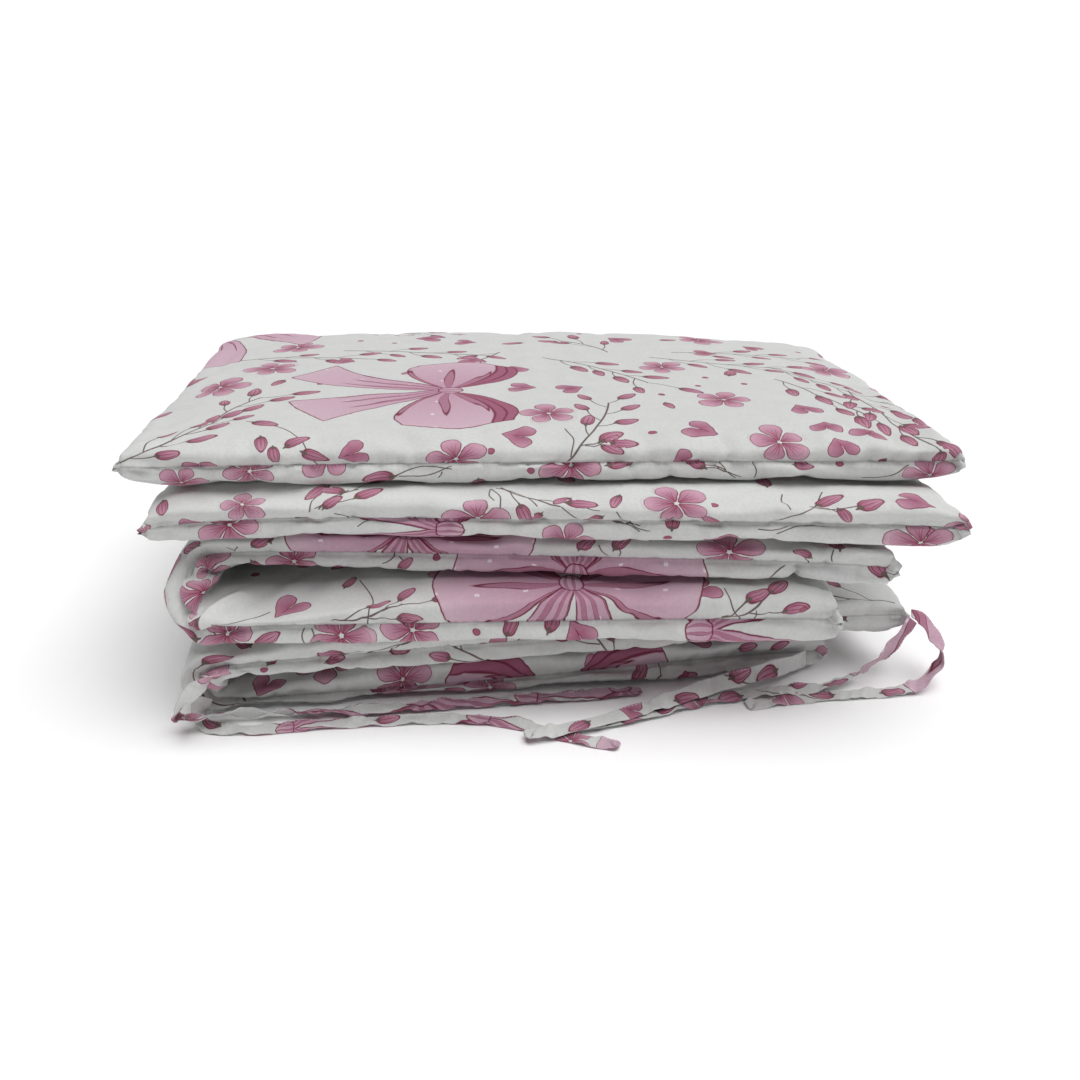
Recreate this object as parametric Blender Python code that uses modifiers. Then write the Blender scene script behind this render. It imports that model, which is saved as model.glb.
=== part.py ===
"""Crib bumper of four quilted pads, put away as a stack.

Two short pads lie flat on top. The two long pads under them are folded in half, with the
fold at the left. Each pad is two cotton panels sewn together round the edge over soft
wadding, so it is plump in the middle, thin at its seam and drawn out to soft points at its
corners. Narrow cloth ties hang from the ends and from the fold of the lowest pad.

Metres, +Z up. X runs along the stack, -Y is its front. The origin is on the surface that
the stack rests on, under the middle of its outline.
"""

import math
from collections import namedtuple

import bmesh
import bpy
from mathutils import Vector

MM = 0.001

# ---- driving sizes, in mm -------------------------------------------------------------
CENTRE = (13.4, 161.2)  # the middle of the stack's outline, in the plan the tables use
PAD_WIDTH = 382.0  # seam to seam, the height of the bumper in the cot
LAYER = 32.2  # one pad pressed flat in the stack
LAYER_GAP = 0.8  # between two layers that rest on each other
LOWEST_SEAM = 9.5  # the weight of the stack spreads the lowest layer and lowers its seam
FOLD_OPENING = 7.0  # extra room between the halves of the upper long pad at its fold
TOP_PLUMP = 20.5  # how far the top panel of the top pad rises above its seam
DRAWN_IN = 5.0  # how far a side is pulled in between two corners
DRAW_REACH = 90.0  # how far into the pad that pull is felt
CORNER_REACH = 30.0  # length over which a side runs out to its corner
CORNER_FULLNESS = 0.8  # below 1 the corners are plumper than the edges alone make them
CROWN_SHARE = 0.84  # height of the top pad just inside its edge, as a share of its middle
CROWN_REACH = 120.0  # from the seam to that pad's full height
TIP_REACH = 52.0  # how much of a corner hangs or lifts with its tip
BELLY_REACH = 26.0  # how far in from the front an overhanging edge hangs lower
BELLY_EDGE = 8.0  # over this much from the seam it begins, and it ends as softly
BELLY_START = 240.0  # how far from the fold it begins
BELLY_GROWTH = 110.0  # and the length over which it grows to its full depth
FOLD_INNER = 9.0  # how far the inner panel stands off the seam in a fold

# The stack sinks towards its ends and towards its back right corner, which hangs free.
END_SINK = 0.03  # share of the height lost at the ends
END_SINK_FROM, END_SINK_OVER = 150.0, 220.0  # in x, on both sides
CORNER_SINK = 0.10  # share of the height lost at the back right corner
CORNER_SINK_FROM = (90.0, 110.0)  # in x and y
CORNER_SINK_OVER = (300.0, 320.0)

TIE_WIDTH = 12.0
TIE_THICK = 1.1

# Rows of the cage from a seam inwards: distance from the seam in plan, the same at a
# corner, and height above the seam as a share of the full height there. The lowest panel
# has rises of its own, because it rolls up softly from the surface that it rests on.
EDGE_ROWS = (
    # inset, corner inset, rise, rise from the surface
    (4.2, -1.5, 0.00, 0.00),
    (-2.6, 2.5, 0.55, 0.45),
    (4.0, 7.5, 1.01, 0.80),
    (26.0, 28.0, 1.00, 1.00),
)
CORNER_SOFTNESS = 16.0  # length over which the rows change to their corner insets
ROW_PITCH = 92.0  # spacing of the rows between the two edges
FOLD_ROWS = 6  # rows round a fold

# Heights of the seams above the surface.
SEAM_HEIGHTS = [LAYER / 2 + i * (LAYER + LAYER_GAP) for i in range(3)]
SEAM_HEIGHTS += [h + 3 * (LAYER + LAYER_GAP) + FOLD_OPENING for h in SEAM_HEIGHTS]
SEAM_HEIGHTS[0] = LOWEST_SEAM

# Short pads: corners of the seam in plan, how far the two front tips hang down, and the
# rise of the top panel above the seam.
ShortPad = namedtuple("ShortPad", "layer front_left front_right back_left back_right hangs plump")
SHORT_PADS = {
    "short_pad_top": ShortPad(
        5, (-297, 16), (301, -20), (-294, 397), (324, 366), (-5, -6), TOP_PLUMP
    ),
    "short_pad_second": ShortPad(
        4, (-282, 2), (290, -62), (-262, 392), (303, 334), (6, -4), LAYER / 2
    ),
}

# Long pads, a lower and an upper half each: where the half ends, its front seam in plan as
# a height at x = 0 and a slope, the lean of its cross direction, how far its outer and
# inner panels stand off the seam, over what length the hollow at the fold closes, and how
# much lower the outer panel hangs where the front stands out over the layer below.
Half = namedtuple("Half", "layer end_x front slope lean outer inner closes belly")
LONG_PADS = {
    "long_pad_upper": (
        Half(2, 213, -43, -0.045, 0.04, LAYER / 2, LAYER / 2 + FOLD_OPENING, 190, 6),
        Half(3, 250, -18, -0.128, 0.08, LAYER / 2, LAYER / 2, 80, 0),
    ),
    "long_pad_lower": (
        Half(0, 234, 3, 0.070, -0.055, LOWEST_SEAM, LAYER - LOWEST_SEAM, 90, 0),
        Half(1, 296, -10, 0.085, -0.070, LAYER / 2, LAYER / 2, 80, 0),
    ),
}
FOLD_X = {"long_pad_upper": -236.0, "long_pad_lower": -230.0}  # where the halves turn

# Ties: the route of the middle of each strip, and its roll about that route. A roll of 0
# spans the strip from front to back, 90 turns its face to the front.
TIES = {
    # x, y, z, roll
    "tie_end_high_a": (
        (296.8, 13.7, 47.3, 80),
        (289.5, 9, 38, 75),
        (278.5, 4, 28, 70),
        (265, 0, 17.5, 55),
        (249, -3, 10, 35),
        (230, -8, 5.2, 12),
        (205, -11, 3.4, 0),
        (175, -13, 3.4, 0),
        (145, -17, 3.4, 0),
        (112, -24, 3.4, 0),
        (80, -35, 3.4, 0),
        (48, -44, 3.4, 0),
        (16, -50, 3.4, 0),
    ),
    "tie_end_high_b": (
        (299.6, 21.8, 48.5, 10),
        (307.5, 18.5, 45, 35),
        (313, 11, 38, 50),
        (317, 3, 29, 40),
        (315, -5, 20, 20),
        (307, -11, 11.5, 5),
        (293, -16, 5, 0),
        (274, -18, 1.7, 0),
        (248, -19, 1.3, 0),
        (218, -20, 1.3, 0),
        (188, -23, 1.3, 0),
        (156, -28, 1.3, 0),
    ),
    "tie_end_low": (
        (216, 18.5, 13.0, -75),
        (203, 10, 14, -72),
        (185, 1.5, 15, -66),
        (163, -5, 13.5, -58),
        (139, -11, 11.5, -42),
        (110, -21, 9.0, -24),
        (78, -33, 7.0, -10),
        (45, -45, 5.6, 0),
        (14, -54, 5.4, 0),
        (-15, -60, 5.4, 0),
    ),
    "tie_fold_a": (
        (-226, -27.3, 49.6, 0),
        (-236, -34.5, 48.5, 40),
        (-246, -39, 43, 60),
        (-255, -39.5, 34, 50),
        (-262, -36.5, 24, 20),
        (-265, -32, 17.5, 0),
        (-257, -30.5, 13.8, -4),
        (-241, -24, 11, -38),
        (-220, -19.5, 8.8, -55),
        (-192, -18, 7, -44),
        (-160, -16, 5, -20),
        (-122, -14, 3.8, 0),
        (-80, -11, 3.4, 0),
        (-40, -9, 3.4, 0),
        (0, -7, 3.2, 0),
        (40, -5, 2.6, 0),
        (80, -1, 2.0, 0),
    ),
    "tie_fold_b": (
        (-248.6, -16.4, 22, 80),
        (-251.5, -18, 14, 70),
        (-252.5, -20, 6.0, 35),
        (-247, -24.5, 2.6, 5),
        (-234, -29, 1.4, 0),
        (-205, -31, 1.3, 0),
        (-165, -28, 1.3, 0),
        (-115, -27, 1.3, 0),
        (-68, -28, 1.3, 0),
        (-24, -37, 1.3, 0),
        (16, -58, 1.3, 0),
        (52, -73, 1.3, 0),
    ),
}
TIE_STEPS = 3  # rows of the strip between two points of its route

# Colours of the cloth: off-white cotton with a rose print.
COTTON = (0.80, 0.77, 0.76, 1.0)
TIE_COTTON = (0.78, 0.72, 0.73, 1.0)
CLOTH_ROUGHNESS = 0.9


def smooth(x):
    """0 below 0, 1 above 1, and an even curve between."""
    x = min(max(x, 0.0), 1.0)
    return x * x * (3 - 2 * x)


def settle(x, y, z):
    """How far a point of the stack sinks under the weight on it and over open air."""
    to_end = smooth((abs(x) - END_SINK_FROM) / END_SINK_OVER)
    to_corner = smooth((x - CORNER_SINK_FROM[0]) / CORNER_SINK_OVER[0])
    to_corner *= smooth((y - CORNER_SINK_FROM[1]) / CORNER_SINK_OVER[1])
    return -z * (END_SINK * to_end + CORNER_SINK * to_corner)


def placed(x, y, z):
    """A point of the tables' plan as a place in the part's frame, in metres."""
    return Vector((x - CENTRE[0], y - CENTRE[1], z + settle(x, y, z))) * MM


class Row:
    """A row of the cage across a pad of one length."""

    def __init__(self, place, corner_place, rise, floor_rise):
        self.place = place
        self.corner_place = corner_place
        self.rise = rise
        self.floor_rise = floor_rise

    def at(self, from_corner):
        """The row's place that far along the seam from the nearest corner."""
        near = math.exp(-max(from_corner, 0) / CORNER_SOFTNESS)
        return self.place + (self.corner_place - self.place) * near


def rows_over(length, pitch):
    """The cage's rows over a length: edge rows at both ends and an even run between them."""
    near = [Row(*edge) for edge in EDGE_ROWS]
    first = near[-1].place
    steps = max(2, round((length - 2 * first) / pitch))
    places = [first + (length - 2 * first) * i / steps for i in range(1, steps)]
    middle = [Row(place, place, 1.0, 1.0) for place in places]
    far = [Row(length - r.place, length - r.corner_place, r.rise, r.floor_rise) for r in near]
    return near + middle + far[::-1]


def corner_rise(column, line, on_floor=False):
    """Share of the full height where a column and a line of the cage cross."""
    if on_floor:
        return (column.floor_rise * line.floor_rise) ** CORNER_FULLNESS
    return (column.rise * line.rise) ** CORNER_FULLNESS


def on_pad(column, line, length):
    """Where a column and a line of the cage cross, along and across the pad."""
    along = column.at(min(line.place, PAD_WIDTH - line.place))
    across = line.at(min(column.place, length - column.place))
    return drawn_in(along, length, across, PAD_WIDTH), drawn_in(across, PAD_WIDTH, along, length)


def drawn_in(place, length, across, width):
    """Shift of a point towards the middle, because the wadding pulls the sides in."""
    from_corner = min(across, width - across)
    pull = DRAWN_IN * (1 - math.exp(-max(from_corner, 0) / CORNER_REACH))
    near_start = math.exp(-max(place, 0) / DRAW_REACH)
    near_end = math.exp(-max(length - place, 0) / DRAW_REACH)
    return place + pull * (near_start - near_end)


def two_panels(name, along, across, lay, material):
    """Two cloth panels with one seam round them, each row and column laid by lay()."""
    columns, rows = len(along) - 1, len(across) - 1
    bm = bmesh.new()
    bmesh.ops.create_grid(bm, x_segments=columns, y_segments=rows, size=0.5)
    crease = bm.edges.layers.float.new("crease_edge")
    for edge in bm.edges:
        edge[crease] = 1.0 if edge.is_boundary else 0.0
    inner = bmesh.ops.duplicate(bm, geom=bm.verts[:] + bm.edges[:] + bm.faces[:])["geom"]
    inner_verts = {item for item in inner if isinstance(item, bmesh.types.BMVert)}
    bmesh.ops.reverse_faces(bm, faces=[f for f in inner if isinstance(f, bmesh.types.BMFace)])
    for vert in bm.verts:
        column = round((vert.co.x + 0.5) * columns)
        row = round((vert.co.y + 0.5) * rows)
        side = -1 if vert in inner_verts else 1
        vert.co = lay(along[column], across[row], side)
    bmesh.ops.remove_doubles(bm, verts=bm.verts, dist=1e-6)
    mesh = bpy.data.meshes.new(name)
    bm.to_mesh(mesh)
    bm.free()
    mesh.shade_smooth()
    mesh.materials.append(material)
    pad = bpy.data.objects.new(name, mesh)
    soft = pad.modifiers.new("Soft", "SUBSURF")
    soft.levels = 1
    soft.render_levels = 1
    return pad


def short_pad(name, pad, material):
    """A pad that lies flat: its panels span four corners."""
    corners = [Vector(c) for c in (pad.front_left, pad.front_right, pad.back_left, pad.back_right)]
    length = (corners[1] - corners[0]).length
    seam = SEAM_HEIGHTS[pad.layer]
    tips = list(zip(corners[:2], pad.hangs))

    def lay(column, line, side):
        along, across = on_pad(column, line, length)
        front = corners[0].lerp(corners[1], along / length)
        back = corners[2].lerp(corners[3], along / length)
        spot = front.lerp(back, across / PAD_WIDTH)
        height = pad.plump if side > 0 else LAYER / 2
        if side > 0 and pad.plump > LAYER / 2:
            inward = min(along, length - along, across, PAD_WIDTH - across)
            height *= CROWN_SHARE + (1 - CROWN_SHARE) * smooth(inward / CROWN_REACH)
        hang = sum(drop * smooth(1 - (spot - tip).length / TIP_REACH) for tip, drop in tips)
        return placed(spot.x, spot.y, seam + side * height * corner_rise(column, line) - hang)

    columns, lines = rows_over(length, ROW_PITCH), rows_over(PAD_WIDTH, ROW_PITCH)
    return two_panels(name, columns, lines, lay, material)


def long_pad(name, low, high, material):
    """A pad folded in half: out along the lower half, round the fold and back above it."""
    fold_x = FOLD_X[name]
    low_seam, high_seam = SEAM_HEIGHTS[low.layer], SEAM_HEIGHTS[high.layer]
    radius = (high_seam - low_seam) / 2
    low_run, high_run = low.end_x - fold_x, high.end_x - fold_x
    bend = math.pi * radius
    length = low_run + bend + high_run

    def outer_height(half, turn, across, to_fold):
        in_fold = smooth(min(turn, math.pi - turn) / (math.pi / 2))
        height = half.outer + (LAYER / 2 - half.outer) * in_fold
        under_front = smooth(across / BELLY_EDGE)
        under_front *= smooth((BELLY_REACH - across) / (BELLY_REACH - BELLY_EDGE / 2))
        return height + half.belly * under_front * smooth((to_fold - BELLY_START) / BELLY_GROWTH)

    def lay(column, line, side):
        along, across = on_pad(column, line, length)
        turn = min(max((along - low_run) / radius, 0), math.pi)
        straight = max(low_run - along, along - low_run - bend, 0)
        half = low if turn < math.pi / 2 else high
        to_fold = straight + radius * min(turn, math.pi - turn)
        if side > 0:
            out = outer_height(half, turn, across, to_fold)
        else:
            closed = smooth(to_fold / half.closes)
            out = -(FOLD_INNER + (half.inner - FOLD_INNER) * closed)
        out *= corner_rise(column, line, on_floor=side > 0 and half.layer == 0)
        x = fold_x + straight - (radius + out) * math.sin(turn)
        z = low_seam + radius - (radius + out) * math.cos(turn)
        share = smooth(turn / math.pi)
        low_front, high_front = low.front + low.slope * x, high.front + high.slope * x
        front = low_front + share * (high_front - low_front)
        lean = low.lean + share * (high.lean - low.lean)
        return placed(x + lean * across, front + across, z)

    clear = ROW_PITCH / 3  # the halves' rows keep this far from the fold's own
    low_rows = [row for row in rows_over(low_run * 2, ROW_PITCH) if row.place < low_run - clear]
    high_rows = rows_over(high_run * 2, ROW_PITCH)
    high_rows = [row for row in high_rows if row.place > high_run + clear]
    for row in high_rows:
        row.place += length - 2 * high_run
        row.corner_place += length - 2 * high_run
    places = [low_run + bend * i / FOLD_ROWS for i in range(FOLD_ROWS + 1)]
    columns = low_rows + [Row(place, place, 1.0, 1.0) for place in places] + high_rows
    return two_panels(name, columns, rows_over(PAD_WIDTH, ROW_PITCH), lay, material)


def curve_through(points, steps):
    """Points of a smooth curve through the given ones (Catmull-Rom), ends included."""
    points = [Vector(p) for p in points]
    points = [points[0] * 2 - points[1]] + points + [points[-1] * 2 - points[-2]]
    found = []
    for a, b, c, d in zip(points, points[1:], points[2:], points[3:]):
        for i in range(steps):
            t = i / steps
            found.append(
                b + (c - a) * t / 2
                + (a * 2 - b * 5 + c * 4 - d) * t * t / 2
                + (b * 3 - a - c * 3 + d) * t * t * t / 2
            )
    return found + [points[-2]]


def tie(name, route, material):
    """A narrow strip of cloth along its route, rolled about it as the route says."""
    line = curve_through(route, TIE_STEPS)
    bm = bmesh.new()
    bmesh.ops.create_grid(bm, x_segments=len(line) - 1, y_segments=1, size=0.5)
    for vert in bm.verts:
        i = round((vert.co.x + 0.5) * (len(line) - 1))
        edge = 1 if vert.co.y > 0 else -1
        ahead = line[min(i + 1, len(line) - 1)] - line[max(i - 1, 0)]
        forward = ahead.to_3d().normalized()
        upright = forward.cross(Vector((0, 1, 0))).normalized()
        level = upright.cross(forward)
        roll = math.radians(line[i][3])
        reach = level * math.cos(roll) + upright * math.sin(roll)
        spot = line[i].to_3d() + reach * edge * TIE_WIDTH / 2
        vert.co = Vector((spot.x - CENTRE[0], spot.y - CENTRE[1], spot.z)) * MM
    mesh = bpy.data.meshes.new(name)
    bm.to_mesh(mesh)
    bm.free()
    mesh.shade_smooth()
    mesh.materials.append(material)
    strip = bpy.data.objects.new(name, mesh)
    cloth = strip.modifiers.new("Cloth", "SOLIDIFY")
    cloth.thickness = TIE_THICK * MM
    cloth.offset = 0.0
    return strip


def cloth_material(name, colour):
    material = bpy.data.materials.new(name)
    material.use_nodes = True
    shader = material.node_tree.nodes["Principled BSDF"]
    shader.inputs["Base Color"].default_value = colour
    shader.inputs["Roughness"].default_value = CLOTH_ROUGHNESS
    shader.inputs["Metallic"].default_value = 0.0
    return material


for old in list(bpy.data.objects):
    bpy.data.objects.remove(old, do_unlink=True)

bumper = bpy.data.collections.new("crib_bumper")
bpy.context.scene.collection.children.link(bumper)

for pad_name, flat_pad in SHORT_PADS.items():
    cotton = cloth_material(pad_name + "_cotton", COTTON)
    bumper.objects.link(short_pad(pad_name, flat_pad, cotton))
for pad_name, (low_half, high_half) in LONG_PADS.items():
    cotton = cloth_material(pad_name + "_cotton", COTTON)
    bumper.objects.link(long_pad(pad_name, low_half, high_half, cotton))
for tie_name, tie_route in TIES.items():
    bumper.objects.link(tie(tie_name, tie_route, cloth_material(tie_name + "_cotton", TIE_COTTON)))
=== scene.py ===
"""Looks of a quilted crib bumper, put away as a stack of four pads with their ties."""

import math

import bpy
import numpy as np
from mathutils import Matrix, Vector
from mathutils.bvhtree import BVHTree


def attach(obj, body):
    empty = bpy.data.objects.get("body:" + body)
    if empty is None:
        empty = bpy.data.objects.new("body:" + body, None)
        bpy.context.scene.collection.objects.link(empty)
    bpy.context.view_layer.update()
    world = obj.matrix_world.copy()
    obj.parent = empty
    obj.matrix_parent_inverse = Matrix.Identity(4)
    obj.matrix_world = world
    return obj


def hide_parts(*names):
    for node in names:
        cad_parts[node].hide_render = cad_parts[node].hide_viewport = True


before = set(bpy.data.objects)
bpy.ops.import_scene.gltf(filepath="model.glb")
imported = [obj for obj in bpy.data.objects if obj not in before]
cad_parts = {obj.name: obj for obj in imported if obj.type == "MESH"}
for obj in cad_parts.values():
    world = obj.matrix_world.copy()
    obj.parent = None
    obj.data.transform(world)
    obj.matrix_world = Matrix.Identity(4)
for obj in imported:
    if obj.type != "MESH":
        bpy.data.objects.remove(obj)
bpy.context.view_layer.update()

# ---- The studio ------------------------------------------------------------------------
# A pale floor that runs on into the background, a large soft light overhead, and a camera
# at the height and angle of the photograph: the image is 1080 x 1080.


def hex_colour(code):
    """An sRGB colour such as "dfe0dd" as linear light, with alpha."""
    parts = [int(code[i : i + 2], 16) / 255 for i in (0, 2, 4)]
    return tuple(c / 12.92 if c <= 0.04045 else ((c + 0.055) / 1.055) ** 2.4 for c in parts) + (1,)


def placed(name, data):
    """A new object with its data, put into the scene."""
    made = bpy.data.objects.new(name, data)
    bpy.context.scene.collection.objects.link(made)
    return made


def plain_material(name, roughness, specular):
    """A new material and its surface shader, with how rough and how shiny it is."""
    made = bpy.data.materials.new(name)
    made.use_nodes = True
    shader = made.node_tree.nodes["Principled BSDF"]
    shader.inputs["Roughness"].default_value = roughness
    shader.inputs["Specular IOR Level"].default_value = specular
    return made, shader


floor_mesh = bpy.data.meshes.new("floor")
floor_mesh.from_pydata([(-6, -4, 0), (6, -4, 0), (6, 9, 0), (-6, 9, 0)], [], [(0, 1, 2, 3)])
floor = placed("floor", floor_mesh)
# matt white board with hardly any shine
floor_paint, floor_shader = plain_material("matt white studio floor", 0.95, 0.1)
floor_shader.inputs["Base Color"].default_value = hex_colour("fdfdfd")
floor_mesh.materials.append(floor_paint)

BACKDROP, TOP_LIGHT = 1.05, 0.13  # brightness at eye level and overhead
FADE_FROM, FADE_TO = 0.06, 0.16  # height of the view direction over which it fades

world = bpy.data.worlds.new("studio")
bpy.context.scene.world = world
world.use_nodes = True
world_tree = world.node_tree
direction = world_tree.nodes.new("ShaderNodeTexCoord")
height = world_tree.nodes.new("ShaderNodeSeparateXYZ")
world_tree.links.new(direction.outputs["Generated"], height.inputs[0])
fade = world_tree.nodes.new("ShaderNodeMapRange")
for end, value in (
    ("From Min", FADE_FROM), ("From Max", FADE_TO), ("To Min", BACKDROP), ("To Max", TOP_LIGHT)
):
    fade.inputs[end].default_value = value
world_tree.links.new(height.outputs["Z"], fade.inputs["Value"])
shown = world_tree.nodes.new("ShaderNodeMix")  # the lens sees the plain backdrop all round
lens = world_tree.nodes.new("ShaderNodeLightPath")
world_tree.links.new(lens.outputs["Is Camera Ray"], shown.inputs["Factor"])
world_tree.links.new(fade.outputs[0], shown.inputs["A"])
shown.inputs["B"].default_value = BACKDROP
world_tree.links.new(shown.outputs[0], world_tree.nodes["Background"].inputs["Strength"])
world_tree.nodes["Background"].inputs["Color"].default_value = hex_colour("ffffff")
bpy.context.scene.view_settings.view_transform = "Standard"

sun_data = bpy.data.lights.new("overhead", "SUN")
sun_data.energy = 3.05
sun_data.angle = math.radians(65)
sun = placed("overhead", sun_data)
sun.rotation_euler = (math.radians(3), math.radians(13), 0)

SENSOR = 36  # mm
FOCAL_LENGTH = 1040 / 1080  # as a share of the image's width
LOOKS_DOWN, LOOKS_RIGHT = 23.537, 4.586  # degrees

camera_data = bpy.data.cameras.new("camera")
camera_data.sensor_width = SENSOR
camera_data.lens = FOCAL_LENGTH * SENSOR
camera = placed("camera", camera_data)
camera.location = (-0.0679, -0.8501, 0.4330)
camera.rotation_euler = (math.radians(90 - LOOKS_DOWN), 0, math.radians(-LOOKS_RIGHT))
bpy.context.scene.camera = camera

# ---- Top short pad ---------------------------------------------------------------------
# Two panels of printed off-white cotton, sewn right sides together round the edge, turned
# out and filled with soft wadding. The top panel is plump, and the cloth is gathered in
# small puckers along the seam.

MM = 0.001
PLAN_MIDDLE = (13.4, 161.2)  # of the plan in which the sizes below are given, in mm
PAD_WIDTH = 382.0  # from seam to seam
LAYER = 32.2  # one pad pressed flat
LAYER_GAP = 0.8
LOWEST_SEAM = 9.5
FOLD_OPENING = 7.0
SEAM_HEIGHTS = [LAYER / 2 + i * (LAYER + LAYER_GAP) for i in range(3)]
SEAM_HEIGHTS += [h + 3 * (LAYER + LAYER_GAP) + FOLD_OPENING for h in SEAM_HEIGHTS]
SEAM_HEIGHTS[0] = LOWEST_SEAM
EDGE_ROWS = (
    # inset, corner inset, rise, rise from the surface
    (4.2, 0.6, 0.00, 0.00),
    (-2.6, -0.4, 0.55, 0.50),
    (4.0, 7.5, 1.01, 0.96),
    (26.0, 28.0, 1.00, 1.00),
)
TOP_EDGE_ROWS = (  # the plump top panel leaves its front seam at a gentler slope
    (4.2, 0.6, 0.00, 0.00),
    (1.2, -0.4, 0.40, 0.36),
    (11.0, 7.5, 0.86, 0.84),
    (31.0, 28.0, 0.99, 0.99),
)
CORNER_SOFTNESS = 16.0  # length over which the rows change to their corner insets
CORNER_FULLNESS, LOW_FULLNESS = 0.42, 0.8  # below 1 the corners are plumper
FLAT_PAD_TIPS = (1.0, 0.15)  # how far the corners stick out, at the left and at the right
ROW_PITCH = 92.0
DRAWN_IN, CORNER_REACH, DRAW_REACH = 5.0, 30.0, 90.0  # pull, its start and how far it is felt
TIP_REACH = 52.0  # how much of a corner hangs or lifts with its tip
CROWN_SHARES, CROWN_REACH = (0.84, 0.16), 120.0  # height at the edge, what it gains, and where
END_SINK, CORNER_SINK = 0.03, 0.10  # share of the height lost at the ends and back right
END_SINK_FROM, END_SINK_OVER = 150, 220  # mm from the middle, and mm until it is full
CORNER_SINK_FROM, CORNER_SINK_OVER = (90, 110), (300, 320)  # the same, in x and y


def smooth(x):
    """0 below 0, 1 above 1, and an even curve between."""
    x = np.clip(x, 0.0, 1.0)
    return x * x * (3 - 2 * x)


def settled(x, y, z):
    """Points of the plan in the frame, in metres, sunk as the stack sinks at its ends."""
    to_end = smooth((np.abs(x) - END_SINK_FROM) / END_SINK_OVER)
    to_right = smooth((x - CORNER_SINK_FROM[0]) / CORNER_SINK_OVER[0])
    to_corner = to_right * smooth((y - CORNER_SINK_FROM[1]) / CORNER_SINK_OVER[1])
    z = z * (1 - END_SINK * to_end - CORNER_SINK * to_corner)
    return np.stack([x - PLAN_MIDDLE[0], y - PLAN_MIDDLE[1], z], -1) * MM


def rows_over(length, near_edge=EDGE_ROWS):
    """Rows of a panel over a length, as an array: place, place at a corner, rise, low rise."""
    near, far = np.array(near_edge), np.array(EDGE_ROWS)[::-1].copy()
    first = EDGE_ROWS[-1][0]
    steps = max(2, round((length - 2 * first) / ROW_PITCH))
    places = first + (length - 2 * first) * np.arange(1, steps) / steps
    middle = np.stack([places, places, np.ones(steps - 1), np.ones(steps - 1)], 1)
    far[:, :2] = length - far[:, :2]
    return np.concatenate([near, middle, far])


def crossings(columns, rows, length, tips):
    """Where columns and rows of a panel cross: places along and across, and both rises.

    The tips say how far the corners at the start and at the end of the length stick out: 1 is
    pointed, 0 is blunt.
    """
    to_seam = np.minimum(rows[:, 0], PAD_WIDTH - rows[:, 0])
    to_end = np.minimum(columns[:, 0], length - columns[:, 0])
    near_seam = np.exp(-np.maximum(to_seam, 0) / CORNER_SOFTNESS)[None, :]
    near_end = np.exp(-np.maximum(to_end, 0) / CORNER_SOFTNESS)[:, None]
    pointed = tips[0] + (tips[1] - tips[0]) * smooth(columns[:, 0:1] / length)
    along = columns[:, 0:1] + (columns[:, 1:2] - columns[:, 0:1]) * near_seam * pointed
    across = rows[None, :, 0] + (rows[None, :, 1] - rows[None, :, 0]) * near_end * pointed
    rise = (columns[:, 2:3] * rows[None, :, 2]) ** CORNER_FULLNESS
    low_rise = (columns[:, 3:4] * rows[None, :, 3]) ** LOW_FULLNESS
    return (
        drawn_in(along, length, across, PAD_WIDTH),
        drawn_in(across, PAD_WIDTH, along, length),
        rise,
        low_rise,
    )


def drawn_in(place, length, across, width):
    """Places shifted towards the middle, because the wadding pulls the sides in."""
    from_corner = np.minimum(across, width - across)
    pull = DRAWN_IN * (1 - np.exp(-np.maximum(from_corner, 0) / CORNER_REACH))
    near_start = np.exp(-np.maximum(place, 0) / DRAW_REACH)
    near_end = np.exp(-np.maximum(length - place, 0) / DRAW_REACH)
    return place + pull * (near_start - near_end)


def along_spline(points, places):
    """A cubic B-spline over the first axis of the points, ends held, read at the places."""
    first = 2 * points[:1] - points[1:2]
    last = 2 * points[-1:] - points[-2:-1]
    held = np.concatenate([first, points, last])
    cell = np.clip(np.floor(places).astype(int), 0, len(points) - 2)
    t = (places - cell).reshape((-1,) + (1,) * (points.ndim - 1))
    weights = (
        (1 - t) ** 3 / 6,
        (3 * t**3 - 6 * t**2 + 4) / 6,
        (-3 * t**3 + 3 * t**2 + 3 * t + 1) / 6,
        t**3 / 6,
    )
    return sum(weight * held[cell + i] for i, weight in enumerate(weights))


def surface(net, columns, rows):
    """The smooth surface over a net of points, read at columns and rows."""
    half = along_spline(net, columns)
    return along_spline(half.swapaxes(0, 1), rows).swapaxes(0, 1)


SEAM_SPACING = 1.1 * MM
SEAM_ZONE = 14 * MM  # over which the spacing grows from the seam inwards


def even_places(nets, spacing):
    """Columns at an even spacing along the middle of the panels, finer at the seam."""
    fine = np.linspace(0, len(nets[0]) - 1, (len(nets[0]) - 1) * 60 + 1)
    middle = (nets[0].shape[1] - 1) / 2
    run = 0
    for net in nets:
        line = surface(net, fine, np.array([middle]))[:, 0]
        steps = np.linalg.norm(np.diff(line, axis=0), axis=1)
        run = run + np.concatenate([[0], np.cumsum(steps)]) / len(nets)
    finer = SEAM_SPACING / spacing
    warped = np.linspace(0, 1, 2001) * run[-1]
    to_seam = np.minimum(warped, run[-1] - warped)
    step = spacing * (finer + (1 - finer) * smooth(to_seam / SEAM_ZONE))
    used = np.concatenate([[0], np.cumsum(np.diff(warped) * 2 / (step[1:] + step[:-1]))])
    count = 2 * round(used[-1] / 2)
    even = np.interp(np.linspace(0, used[-1], count + 1), used, warped)
    return np.interp(even, run, fine), even


def cells(grid):
    """Of a grid of numbers or points the four corners of each of its cells."""
    return np.stack([grid[:-1, :-1], grid[1:, :-1], grid[1:, 1:], grid[:-1, 1:]], 2)


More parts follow.
